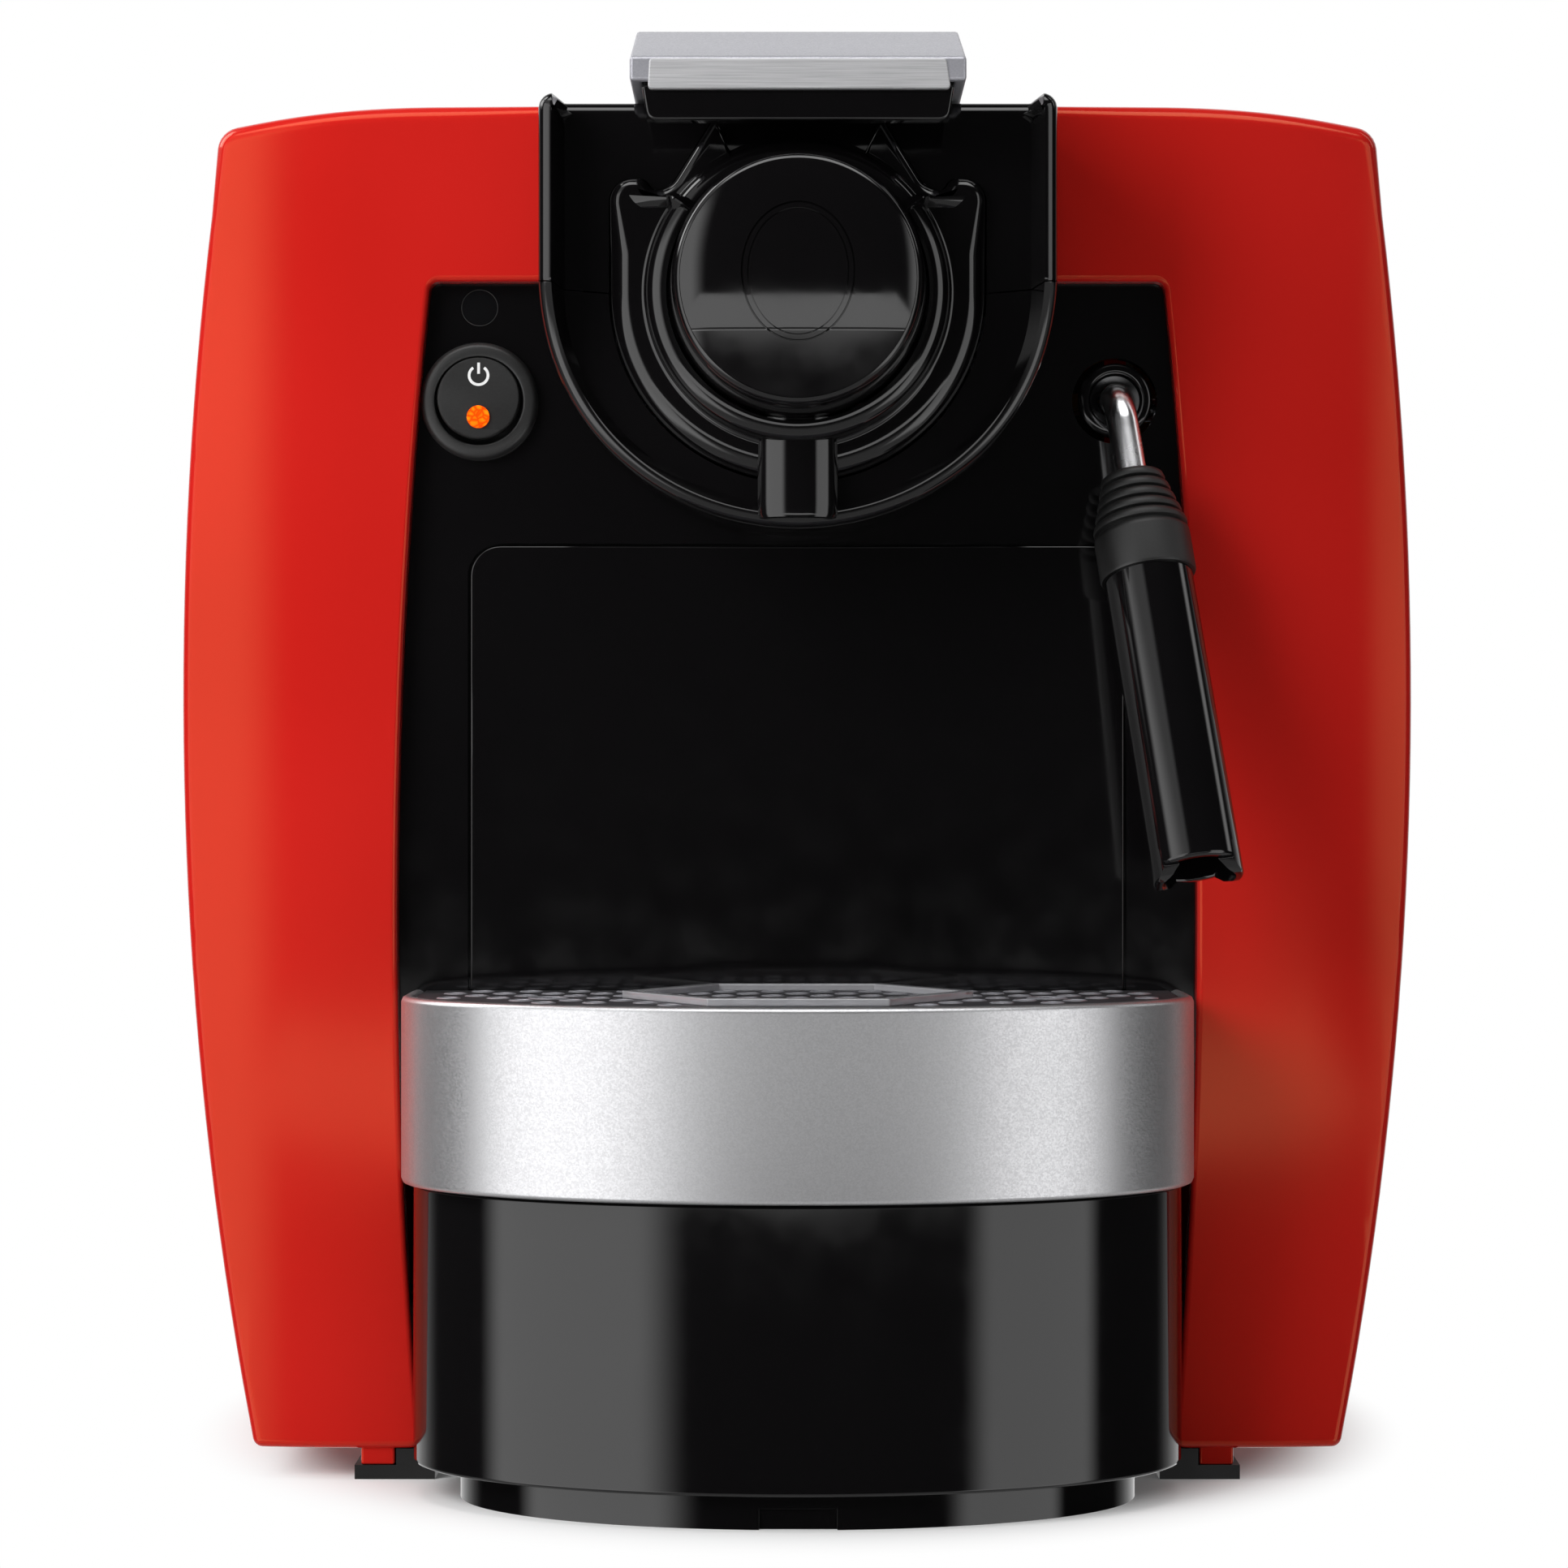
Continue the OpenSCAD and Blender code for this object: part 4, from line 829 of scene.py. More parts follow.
@dataclass
class SideShells:
    """The two red side shells, with their crowned tops and bowed sides."""

    half_width: float = 131.0
    bottom: float = 6.5
    top: float = 290.8
    front: float = -88.0
    rear: float = 155.0
    side_radius: float = 817.0
    side_centre: float = 166.0
    crown_radius: float = 250.0
    crown_x: float = 75.0
    corner: float = 5.0
    foot_round: float = 2.2
    inner_x: float = 52.6
    shoulder: float = 253.5
    opening_radius: float = 1275.0
    opening_half: float = 84.7
    opening_centre: float = 120.0
    flat_x: float = 92.0
    front_radius: float = 130.0
    rear_corner: float = 22.0
    wall: float = 2.6
    front_wall: float = 4.7
    crown_round: float = 3.6
    crown_fade: float = 12.0
    side_band: float = 9.0
    sweep_depth: float = 12.0
    edge_round: float = 2.0
    inner_round: float = 1.3
    bay_x: float = 77.3
    bay_front: float = 66.0
    bay_rear: float = 160.0
    hollow_x: float = 40.0
    hollow_side: float = 128.4
    clear_z: Point2 = (-20.0, 320.0)
    crown_side_z: float = 278.0
    side_heights: range = range(20, 276, 8)
    crown_places: range = range(114, 74, -4)
    opening_heights: range = range(240, 16, -12)
    cut_heights: range = range(24, 280, 16)
    cut_depths: tuple[int, ...] = (-68, -40, -10, 20, 50, 80, 108, 124, 131)
    foot_x: Point2 = (85.2, 92.4)
    foot_y: Point2 = (-86.6, -70.0)
    foot_z: Point2 = (3.0, 8.0)
    knob_at: Corner = (88.0, 15.0, 280.0)
    knob_r: float = 3.1
    knob_depth: float = 20.0
    around_front: float = -120.0
    slack: float = 0.02

    def side_x(self, z: float) -> float:
        """Returns the outer side's distance from the middle at a height."""
        return self.half_width - arc_fall(self.side_radius, z - self.side_centre)

    def opening_x(self, z: float) -> float:
        """Returns the opening's half width at a height."""
        return self.opening_half - arc_fall(self.opening_radius, z - self.opening_centre)

    def crown_z(self, x: float) -> float:
        """Returns the height of the crown at a distance from the middle."""
        return self.top - arc_fall(self.crown_radius, max(0.0, x - self.crown_x))

    def sweep_back(self, x: float) -> float:
        """Returns how far the front face curves back at a distance from the middle."""
        return arc_fall(self.front_radius, max(0.0, x - self.flat_x))

    def outline(self) -> tuple[list[Point2], list[float]]:
        """Works out the right shell's front view.

        Returns:
            The outline, and the radius of the front edge at each of its points.
        """
        corner_x = self.side_x(self.crown_side_z)
        corners: list[Corner] = [(edge(self.bottom), self.bottom, self.foot_round)
                                 for edge in (self.opening_x, self.side_x)]
        corners += [(self.side_x(z), z, 0.0) for z in self.side_heights]
        corners += [(corner_x - 0.2, self.crown_z(corner_x) + 0.2, self.corner)]
        corners += [(x, self.crown_z(x), 0.0) for x in self.crown_places]
        corners += [(self.inner_x, self.top, 1.5), (self.inner_x, self.shoulder, 2.4),
                    (self.opening_x(self.shoulder), self.shoulder, self.foot_round)]
        corners += [(self.opening_x(z), z, 0.0) for z in self.opening_heights]
        points = rounded(corners, 6)
        radii = []
        for x, z in points:
            crown = clamp((z - self.top + self.crown_fade) / 8.0) * clamp((x - self.inner_x) / 2.5)
            outer = x > self.side_x(z) - self.side_band or z < self.bottom + 1.0
            base = self.edge_round if outer else self.inner_round
            radii.append(base + (self.crown_round - base) * crown)
        return points, radii

    def right(self) -> Thing:
        """Models the right shell as a hollow moulding."""
        outline, radii = self.outline()
        soft = self.edge_round
        rings = [on_y(inset(outline, [r * a for r in radii]), [self.front + r * b for r in radii])
                 for a, b in reversed(quarter(6))]
        rings += [on_y(inset(outline, soft * a), self.rear - soft * b) for a, b in quarter()]
        shape = Shape().loft(rings, ends=(True, True)).clean()
        for axis, places in ((0, range(int(self.flat_x), int(self.half_width), 4)),
                             (2, self.cut_heights), (1, self.cut_depths)):
            normal = Matrix.Identity(3)[axis]
            for place in places:
                shape.split(normal * place, normal)

        def form(p: Vector) -> Vector:
            """Curves the front face back."""
            return p + BACK * self.sweep_back(p.x) if p.y < self.front + self.sweep_depth else p

        shell = solid(shape.shift(form), "right_shell")
        front, side, end = self.around_front, self.half_width + self.slack, self.rear + self.slack
        around = rounded([(self.hollow_x, front, 0), (side, front, 0),
                          (side, end, self.rear_corner),
                          (self.hollow_x, end, 0)], 14)
        combine(shell, [solid(Shape().block(around, *self.clear_z))], "INTERSECT")
        low, high = self.bottom + self.wall, self.top - self.wall
        hollow = [(self.hollow_x, low)]
        hollow += [(self.side_x(z) - self.wall, z) for z in range(int(low), 280, 8)]
        hollow += [(self.side_x(280) - self.wall - 3, self.crown_z(120) - self.wall),
                   (self.crown_x, high), (self.hollow_x, high)]
        front, rear = self.front + self.front_wall, self.rear - self.wall
        plan = [(self.hollow_x, front), (self.flat_x, front),
                (self.hollow_side - 0.4, front + 6.0), (self.hollow_side, 40.0),
                (self.hollow_side, self.rear - self.rear_corner),
                (self.half_width - self.rear_corner, rear), (self.hollow_x, rear)]
        inner = solid(Shape().slab(hollow, self.front, self.rear))
        combine(inner, [solid(Shape().block(plan, *self.clear_z))], "INTERSECT")
        bay = rectangle((self.hollow_x, self.bay_x), (self.bay_front, self.bay_rear))
        return combine(shell, [inner, solid(Shape().block(bay, *self.clear_z))])

    def build(self) -> None:
        """Models both shells, the stub of each front foot and the bearing of the steam knob."""
        right = self.right()
        stub = Shape().block(rectangle(self.foot_x, self.foot_y, 0.6, 3), *self.foot_z, 0.5, 0.0)
        combine(right, [solid(stub)], "UNION")
        left = right.copy()
        left.data = right.data.copy()
        left.name = "left_shell"
        bpy.context.scene.collection.objects.link(left)
        left.data.transform(Matrix.Scale(-1, 4, (1, 0, 0)))
        left.data.flip_normals()
        profile = [(0, 0), (self.knob_r, 0), (self.knob_r, self.knob_depth), (0, self.knob_depth)]
        spindle = Shape().revolve(profile, Vector(self.knob_at), UP, 32)
        combine(right, [solid(spindle)])
        for shell, node in ((right, "side_shell_right"), (left, "side_shell_left")):
            present(shell, RED_ABS, Body.CASING, (node,))


@dataclass
class FrontPanel:
    """Seamed cover that is set into the black front panel."""

    face: float = -83.0
    half: float = 69.5
    bottom: float = 67.2
    top: float = 197.8
    corner: float = 6.4
    thickness: float = 1.4

    def build(self) -> None:
        """Models the cover with a softly broken edge."""
        corners = [(side, self.bottom, 0.3) for side in (-self.half, self.half)]
        corners += [(side, self.top, self.corner) for side in (self.half, -self.half)]
        cover = Shape().slab(rounded(corners, 10), self.face, self.face + self.thickness, 0.45, 0.0)
        present(solid(cover, "front_cover_face"), BLACK_ABS, Body.CASING,
                ("front_cover",))


@dataclass
class BrewGroup:
    """Top block, bowl, boss and collar, the brew cap in them and its spout."""

    axis_z: float = 247.0
    block_half: float = 52.3
    block_top: float = 286.4
    block_corner: float = 3.2
    seam: float = 248.4
    seam_fall: float = 1.2
    seam_run: float = 14.1
    bowl_drop: float = 49.0
    rim_front: float = -131.0
    rim_foot: float = -97.0
    rim_round: float = 2.7
    block_rear: float = 66.0
    panel: float = -83.0
    seam_gap: float = 0.14
    slot_z: Point2 = (-6.0, 1.0)
    pivot_slot: tuple[Point2, Point2] = ((-20.5, 20.5), (-88.5, -67.0))
    cheek_slots: tuple[Point2, ...] = ((-29.5, -23.5), (23.5, 29.5))
    cheek_slot_y: Point2 = (-86.5, 14.0)
    dish: float = 13.0
    dish_run: float = 2.0
    open_x: float = 45.5
    open_fade: float = 2.0
    boss_r: float = 38.2
    boss_corners: tuple[Corner, ...] = ((38.2, 0, 0), (38.2, 23.4, 4.6), (31.3, 23.4, 2.4),
                                        (29.6, 20.8, 1.5), (25.9, 21.6, 5.0), (17.4, 35.2, 1.2),
                                        (0, 35.2, 0))
    boss_pitch: float = 0.7
    foot_lap: float = 0.35
    boss_front: float = -122.0
    boss_round: float = 4.6
    shoulder_round: float = 2.3
    collar_front: float = -128.0
    collar_r: float = 30.7
    collar_round: float = 3.4
    collar_flare: float = 1.2
    bore_r: float = 26.6
    cap_r: float = 26.1
    cap_face_r: float = 24.6
    cap_front: float = -149.0
    cap_rear: float = -114.0
    cap_round: float = 1.1
    crease: float = -10.0
    crease_step: float = 0.16
    crease_at: float = 0.2
    crease_half: float = 0.22
    edge_slope: float = 0.37
    facet_slope: float = 0.22
    dome_r: float = 95.0
    dome_peak: float = 10.0
    pad_rise: float = 1.1
    pad_rings: tuple[Corner, ...] = ((11.1, 13.5, 0.42), (9.9, 12.3, 0.2))
    pad_depth: float = 0.42
    face_thick: float = 9.5
    spout_y: float = -121.0
    spout_r: float = 8.2
    spout_bottom: float = 201.0
    spout_front: float = 0.62
    face_r: float = 23.5
    wall: float = 2.2

    def outer_outline(self) -> list[Point2]:
        """Returns the front view of the block and the half-elliptical bowl below it."""
        half = self.block_half
        bowl = arc((0, self.seam), (half, self.bowl_drop), 180, 360, 72)
        top = rounded([(half, self.seam, 0), (half, self.block_top, self.block_corner),
                       (-half, self.block_top, self.block_corner), (-half, self.seam, 0)], 8)
        return bowl[:-1] + top[:-1]

    def boss_outline(self) -> list[Point2]:
        """Returns the boss's front view: a circle below, notched shoulders and a neck above."""
        lower = arc((0, 0), (self.boss_r, self.boss_r), -90, 0, 36)
        half = lower[:-1] + rounded(self.boss_corners, 7)
        dense: list[Point2] = []
        for a, b in zip(half, half[1:]):
            parts = max(1, round(math.dist(a, b) / self.boss_pitch))
            dense += [(a[0] + (b[0] - a[0]) * i / parts, a[1] + (b[1] - a[1]) * i / parts)
                      for i in range(parts)]
        return [(x, z + self.axis_z) for x, z in mirrored(dense + [half[-1]])]

    def boss_rounding(self, z: float) -> float:
        """Returns the radius of the boss's front edge, which is smaller at its shoulders."""
        share = clamp((z - self.axis_z - 8.0) / 10.0)
        return self.boss_round + (self.shoulder_round - self.boss_round) * share

    def matched(self, boss: Sequence[Point2]) -> list[Point2]:
        """Returns the outer outline's points that lie beyond those of the boss."""
        outline = self.outer_outline()
        points: list[Point2] = []
        last = -math.pi / 2 - 0.01
        for x, z in boss:
            angle = math.atan2(z - self.axis_z, x)
            if x < 0 and angle < 0:
                angle += math.tau
            last = max(last + 0.004, angle)
            points.append(ray_hit(outline, (0, self.axis_z), last))
        return points

    def rim_y(self, z: float) -> float:
        """Returns the depth of the rim, which falls back below the seam towards the flat face."""
        limit = self.dish - 1.0
        fall = max(0.0, self.seam - z) * (self.rim_foot - self.rim_front) / self.bowl_drop
        return self.rim_front + limit * (1 - math.exp(-fall / limit))

    def skirt(self, back: float) -> Shape:
        """Models the surface from the outer wall over the rim down into the dish.

        Args:
            back: Depth at which the outer wall ends.

        Returns:
            The open surface.
        """
        boss = self.boss_outline()
        outer = self.matched(boss)
        rims = [self.dish_y(x, z) for x, z in outer]
        rings = [on_y(outer, back)]
        if back > 0:
            rings.append(on_y(outer, self.panel))
        rings += [on_y(inset(outer, self.rim_round * a), [y + self.rim_round * b for y in rims])
                  for a, b in quarter(6)]
        lip = inset(outer, self.rim_round)
        wall = [self.inwards(x, z) for x, z in lip]
        foot = inset(boss, -self.foot_lap)
        floor = self.rim_front + self.dish
        rings.append(on_y(wall, floor))
        return Shape().loft(rings).web(on_y(wall, floor), on_y(foot, floor))

    def inwards(self, x: float, z: float) -> Point2:
        """Moves a point of the rim to the foot of the wall inside it; the open top has none."""
        run = self.dish_run + 0.02
        if z > self.seam:
            return x - math.copysign(run, x) * clamp((abs(x) - self.open_x) / self.open_fade), z
        share = 1 - run / self.bowl_drop
        return x * (1 - run / self.block_half), self.seam + (z - self.seam) * share

    def dish_y(self, x: float, z: float) -> float:
        """Returns the depth of the front: the rim, the steep wall inside it or the flat face."""
        if z > self.seam:
            edge = self.block_half - abs(x)
        else:
            reach = math.hypot(x / self.block_half, (self.seam - z) / self.bowl_drop)
            edge = (1 - reach) * self.bowl_drop
        share = clamp((edge - self.rim_round) / self.dish_run)
        return self.rim_y(z) + (self.rim_front + self.dish - self.rim_y(z)) * share

    def cut_at_seam(self, shape: Shape, upper: bool) -> Shape:
        """Keeps what lies above or below the seam, which falls from the rim to the boss.

        Args:
            shape: Shape that is cut; only its right half is kept and then mirrored.
            upper: Whether the upper part is kept.

        Returns:
            The shape.
        """
        shape.split((0, 0, 0), (-1, 0, 0), clear=True)
        away = -1.0 if upper else 1.0
        normal = (-self.seam_fall * away, 0.0, self.seam_run * away)
        start = (self.block_half, 0, self.seam - self.seam_gap * away)
        shape.split(start, normal, clear=True)
        return shape.mirror_x()

    def boss(self) -> Shape:
        """Models the boss, the collar on it and the bore for the cap."""
        boss = self.boss_outline()
        feet = [self.dish_y(x, z) for x, z in boss]
        angles = [math.atan2(z - self.axis_z, x) for x, z in boss]

        def facing(radius: float) -> list[Point2]:
            """Returns the points of a circle that face those of the boss."""
            return [(radius * math.cos(a), self.axis_z + radius * math.sin(a)) for a in angles]

        soft = [self.boss_rounding(z) for _, z in boss]
        rings = [on_y(boss, [max(y + 2.5, self.boss_front + r + 0.3) for y, r in zip(feet, soft)])]
        rings += [on_y(inset(boss, [r * a for r in soft]), [self.boss_front + r * b for r in soft])
                  for a, b in quarter(7)]
        flare = self.collar_flare
        rings += [on_y(facing(self.collar_r + flare * (1 - math.sin(t))),
                       self.boss_front - flare * (1 - math.cos(t))) for t in (0.0, 0.5, 1.0, 1.5)]
        soft = self.collar_round
        rings += [on_y(facing(self.collar_r - soft * a), self.collar_front + soft * b)
                  for a, b in quarter(6)]
        rings += [on_y(facing(self.bore_r), self.collar_front + depth) for depth in (0.5, 9)]
        return Shape().loft(rings)

    def block(self) -> Thing:
        """Models the top block, with the slots under the lever."""
        shape = self.cut_at_seam(self.skirt(self.block_rear), True)
        block = walled(shape, self.wall, "block_moulding")
        low, high = (self.block_top + z for z in self.slot_z)
        slots = [rectangle(*self.pivot_slot, 2)]
        slots += [rectangle(across, self.cheek_slot_y, 1.2) for across in self.cheek_slots]
        return combine(block, [solid(Shape().block(slot, low, high)) for slot in slots])

    def face_depth(self, x: float, z: float) -> float:
        """Returns how far the cap's face lies back: domed, and flatter below the crease."""
        low = self.axis_z + self.crease
        height = max(z, low) - self.axis_z
        dome = (height - self.dome_peak) ** 2 / (2 * self.dome_r)
        reach = math.hypot(x, max(0.0, height) * 0.75) / self.face_r
        dome += self.edge_slope * self.face_r / 4 * reach ** 4
        below = low - z
        groove = max(0.0, 1 - abs(below - self.crease_at) / self.crease_half) * self.crease_step
        return dome + max(0.0, below) * self.facet_slope + groove

    def cap_rim(self) -> Thing:
        """Models the cap's side and the narrow rim round its face."""
        inner = self.cap_front + 1.0
        profile = [(0.0, inner), (self.face_r, inner), (self.face_r, self.cap_front + 0.7)]
        soft = self.cap_round
        profile += [(self.cap_face_r - soft * a, self.cap_front + 0.25 + soft * b)
                    for a, b in reversed(quarter(4))]
        profile += [(self.cap_face_r + more, self.cap_front + y)
                    for more, y in ((0, 1.9), (0.5, 2.4))]
        profile += [(self.cap_r - 0.3, self.collar_front - 4), (self.cap_r, self.collar_front),
                    (self.cap_r, self.cap_rear), (0.0, self.cap_rear)]
        shape = Shape().revolve(profile, Vector((0, 0, self.axis_z)), BACK, 128).clean()
        length = self.collar_front - self.cap_front - 4

        def domed(p: Vector) -> Vector:
            """Leans the rim back with the face, less and less towards the collar."""
            share = clamp((self.cap_front + length - p.y) / (length - 2.4))
            return p + Vector((0, share * self.face_depth(p.x, p.z), 0))

        return solid(shape.shift(domed), "cap_rim")

    def cap_face(self) -> Thing:
        """Models the cap's face, with its crease and the grooves of a plain oval pad."""
        rings = []
        reach = self.face_r - 0.12
        heights = sorted({reach * math.sin(math.pi / 2 * k / 20) for k in range(-19, 20)}
                         | {self.crease + step for step in (0.15, 0.02, -0.2, -0.42, -0.55)}
                         | {-reach * 0.9995, reach * 0.9995})
        for height in heights:
            z = self.axis_z + height
            half = math.sqrt(max(0.0, reach * reach - height * height))
            across = [half * math.sin(math.pi / 2 * k / 24) for k in range(-24, 25)]
            ring = [Vector((x, self.cap_front + self.face_depth(x, z), z)) for x in across]
            rings.append(ring + [Vector((x, self.cap_front + self.face_thick, z))
                                 for x in (half, -half)])
        face = solid(Shape().loft(rings, ends=(True, True)), "cap_face")
        grooves = []
        for half_x, half_z, width in self.pad_rings:
            rings = []
            for grow, sink in ((-width, -1.0), (width, -1.0), (0.06, self.pad_depth),
                               (-0.06, self.pad_depth)):
                radii = (half_x + grow, half_z + grow)
                points = arc((0, self.axis_z + self.pad_rise), radii, 0, 360, 120)[:-1]
                depths = [self.cap_front + self.face_depth(x, z) + sink for x, z in points]
                rings.append(on_y(points, depths))
            grooves.append(solid(Shape().loft(rings + rings[:1])))
        return combine(face, grooves)

    def spout(self) -> Thing:
        """Models the spout, with a flatter front, a broken lip and a bore."""

        def section(radius: float, z: float) -> Chain:
            """Returns one ring of the spout, whose front half is flatter."""
            points = [(x, self.spout_y + y * (self.spout_front if y < 0 else 1))
                      for x, y in circle(radius)]
            return on_z(points, self.spout_bottom + z)

        rows = [(5.2, 30.0), (5.2, 0.9), (5.6, 0.2), (6.2, 0.0)]
        rows += [(self.spout_r - less, z) for less, z in (
            (1.0, 0.0), (0.4, 0.25), (0.15, 0.9), (0.0, 3.0), (0.0, 14.0), (0.2, 30.0))]
        rings = [section(radius, z) for radius, z in rows]
        return solid(Shape().loft(rings + rings[:1]), "spout_moulding")

    def build(self) -> None:
        """Models and finishes the group's pieces."""
        bowl = self.cut_at_seam(self.skirt(self.panel - 0.1), False)
        pieces = ((self.block(), ("top_block",)),
                  (walled(bowl, self.wall, "bowl_moulding"), ("group_bowl",)),
                  (walled(self.boss(), self.wall, "boss_moulding"), ()),
                  (self.cap_rim(), ("brew_cap",)),
                  (self.cap_face(), ()),
                  (self.spout(), ("coffee_spout",)))
        for piece, nodes in pieces:
            present(piece, BLACK_ABS, Body.CASING, nodes)


# ---------------------------------------------------------------- lever


@dataclass
class Lever:
    """Silver cover of the lever, its brushed front plate and the black lip under it."""

    plate: tuple[Corner, ...] = ((-29.9, 285.4, 0.7), (30.4, 285.4, 0.7),
                                 (29.5, 291.4, 0.7), (-29.6, 291.4, 0.7))
    plate_proud: float = 0.3
    plate_sunk: float = 2.4
    lip_low: float = 279.3
    lip_top: float = 286.4
    lip_front: float = -138.3
    lip_back: float = -134.1
    lip_half: float = 30.0
    lip_flare: float = 1.2

    def build(self) -> None:
        """Dresses the cover and models the plate and the lip."""
        cover = copied("lever_cover", "lever_cover_shell", 0.7, 20.0)
        present(cover, SATIN_SILVER, Body.LEVER, ("lever_cover",), 45.0)
        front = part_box("lever_cover")[0].y / MM
        span = (front - self.plate_proud, front + self.plate_sunk)
        plate = Shape().slab(rounded(self.plate, 4), *span, 0.35, 0.0)
        present(solid(plate, "lever_front_plate"), BRUSHED_ALUMINIUM, Body.LEVER)
        wide = self.lip_half + self.lip_flare
        outline = rounded([(-self.lip_half, self.lip_low, 2.2), (self.lip_half, self.lip_low, 2.2),
                           (wide, self.lip_top, 0.7), (-wide, self.lip_top, 0.7)], 5)
        lip = Shape().slab(outline, self.lip_front, self.lip_back, 0.6, 0.3)
        present(solid(lip, "lever_lip"), BLACK_ABS, Body.LEVER)


# ---------------------------------------------------------------- steam wand


@dataclass
class SteamWand:
    """Steam tube in its socket, the ribbed rubber grip, the frothing sleeve and its nozzle."""

    ball: Corner = (67.5, -77.0, 228.6)
    ahead: float = 16.0
    lean_right: float = 7.5
    lean_forward: float = 19.4
    bend_r: float = 9.0
    bend_steps: int = 16
    tube_r: float = 3.3
    tube_end: float = 44.0
    grip_start: float = 18.6
    band_start: float = 31.6
    band_end: float = 41.6
    band_r: float = 10.0
    sleeve_start: float = 40.4
    sleeve_end: float = 105.4
    leg_end: float = 108.2
    sleeve_r: float = 9.15
    bore_r: float = 7.1
    leg_half: float = 40.0
    ribs: int = 5
    crest_r: float = 6.5
    crest_step: float = 0.78
    socket_r: float = 7.8
    panel: float = -83.0

    def axis(self) -> tuple[Vector, Vector]:
        """Returns where the wand's axis passes the ball's height, and its direction."""
        lean = math.radians(self.lean_forward)
        way = Vector((0, -math.sin(lean), -math.cos(lean)))
        way.rotate(Matrix.Rotation(math.radians(-self.lean_right), 3, "Y"))
        return Vector(self.ball) + Vector((0, -self.ahead, 0)), way

    def tube(self) -> Thing:
        """Models the bent tube."""
        crossing, way = self.axis()
        half = (math.pi - BACK.angle(way)) / 2
        set_back = self.bend_r * math.tan(half)
        start, end = crossing + BACK * set_back, crossing + way * set_back
        centre = crossing + (BACK + way).normalized() * self.bend_r / math.cos(half)
        turn = (start - centre).rotation_difference(end - centre)
        path = [Vector(self.ball) + BACK * 4, start + BACK * 0.5]
        for k in range(self.bend_steps + 1):
            arm = start - centre
            arm.rotate(Matrix.Rotation(turn.angle * k / self.bend_steps, 3, turn.axis))
            path.append(centre + arm)
        path.append(crossing + way * self.tube_end)
        return solid(Shape().sweep(path, self.tube_r), "steam_tube_chromed")

    def socket(self) -> Thing:
        """Models the socket: a raised ring round a recess, with the ball of the tube in it."""
        x, _, z = self.ball
        profile = [(3.6, 3.5), (3.6, 0.4), (5.2, -0.6), (5.5, -1.9), (5.9, -2.25), (6.6, -2.35),
                   (7.3, -2.1), (self.socket_r, -1.3), (self.socket_r, 1.0),
                   (self.socket_r - 1.5, 3.5)]
        ring = Shape().revolve(profile + profile[:1], Vector((x, self.panel, z)), BACK, 64)
        return solid(ring, "socket_ring")

    def grip(self) -> Thing:
        """Models the rubber grip: bellows that widen downwards, and a smooth band."""
        crossing, way = self.axis()
        pitch = (self.band_start - self.grip_start) / self.ribs
        bore = self.tube_r + 0.05
        profile = [(bore, self.grip_start), (5.3, self.grip_start)]
        for k in range(self.ribs):
            start, crest = self.grip_start + pitch * k, self.crest_r + self.crest_step * k
            profile += [(crest + grow, start + run) for grow, run in (
                (-0.5, 0.12), (0, 0.5), (0.25, pitch * 0.5), (0.15, pitch - 0.65),
                (-0.45, pitch - 0.35))]
        profile += [(self.band_r - less, self.band_start + run)
                    for less, run in ((0.7, 0.1), (0.1, 0.6), (0, 1.4))]
        profile += [(self.band_r - less, self.band_end - run)
                    for less, run in ((0, 0.6), (0.25, 0.1), (0.7, 0))]
        profile.append((bore, self.band_end))
        return solid(Shape().revolve(profile + profile[:1], crossing, way, 72), "wand_grip_moulded")

    def sleeve(self) -> Thing:
        """Models the frothing sleeve, which ends in two legs."""
        crossing, way = self.axis()

        def tube(start: float, end: float) -> Shape:
            """Returns a tube along the axis, with rounded ends."""
            outer, inner = self.sleeve_r, self.bore_r
            profile = [(inner, start), (outer - 0.4, start), (outer, start + 0.5),
                       (outer, end - 0.8), (outer - 0.25, end - 0.25), (outer - 0.8, end),
                       (inner + 0.5, end), (inner, end - 0.5)]
            return Shape().revolve(profile + profile[:1], crossing, way, 96)

        sleeve = solid(tube(self.sleeve_start, self.sleeve_end), "sleeve_moulding")
        legs = solid(tube(self.sleeve_end - 4, self.leg_end))
        side = way.cross(BACK).normalized()
        depth = way.cross(side).normalized()
        half = self.sleeve_r * math.sin(math.radians(self.leg_half))
        foot = crossing + way * (self.sleeve_end - 0.7)
        corners = [(-half, -6), (half, -6), (half, 1.2), (half - 1.2, 2.6), (half - 3.2, 3.4),
                   (3.2 - half, 3.4), (1.2 - half, 2.6), (-half, 1.2)]
        cutters = []
        for sign in (-1, 1):
            rings = [[foot + depth * d + way * s + side * sign * reach for d, s in corners]
                     for reach in (2.0, 12.0)]
            cutters.append(solid(Shape().loft(rings, ends=(True, True))))
        keep = combine(cutters[0], cutters[1:], "UNION")
        combine(legs, [keep], "INTERSECT")
        return combine(sleeve, [legs], "UNION")

    def build(self) -> None:
        """Models the pieces of the wand."""
        present(self.tube(), CHROME, Body.WAND, ("steam_tube",))
        present(self.socket(), BLACK_ABS, Body.CASING, ("steam_rosette",))
        present(self.grip(), RUBBER, Body.WAND, ("wand_grip",), 50.0)
        present(self.sleeve(), BLACK_ABS, Body.WAND, ("frother_sleeve",), 45.0)
        nozzle = copied("frother_nozzle", "frother_nozzle_turned", 0.3)
        present(nozzle, STEEL, Body.WAND, ("frother_nozzle",))


# ---------------------------------------------------------------- drip tray, drawer and foot


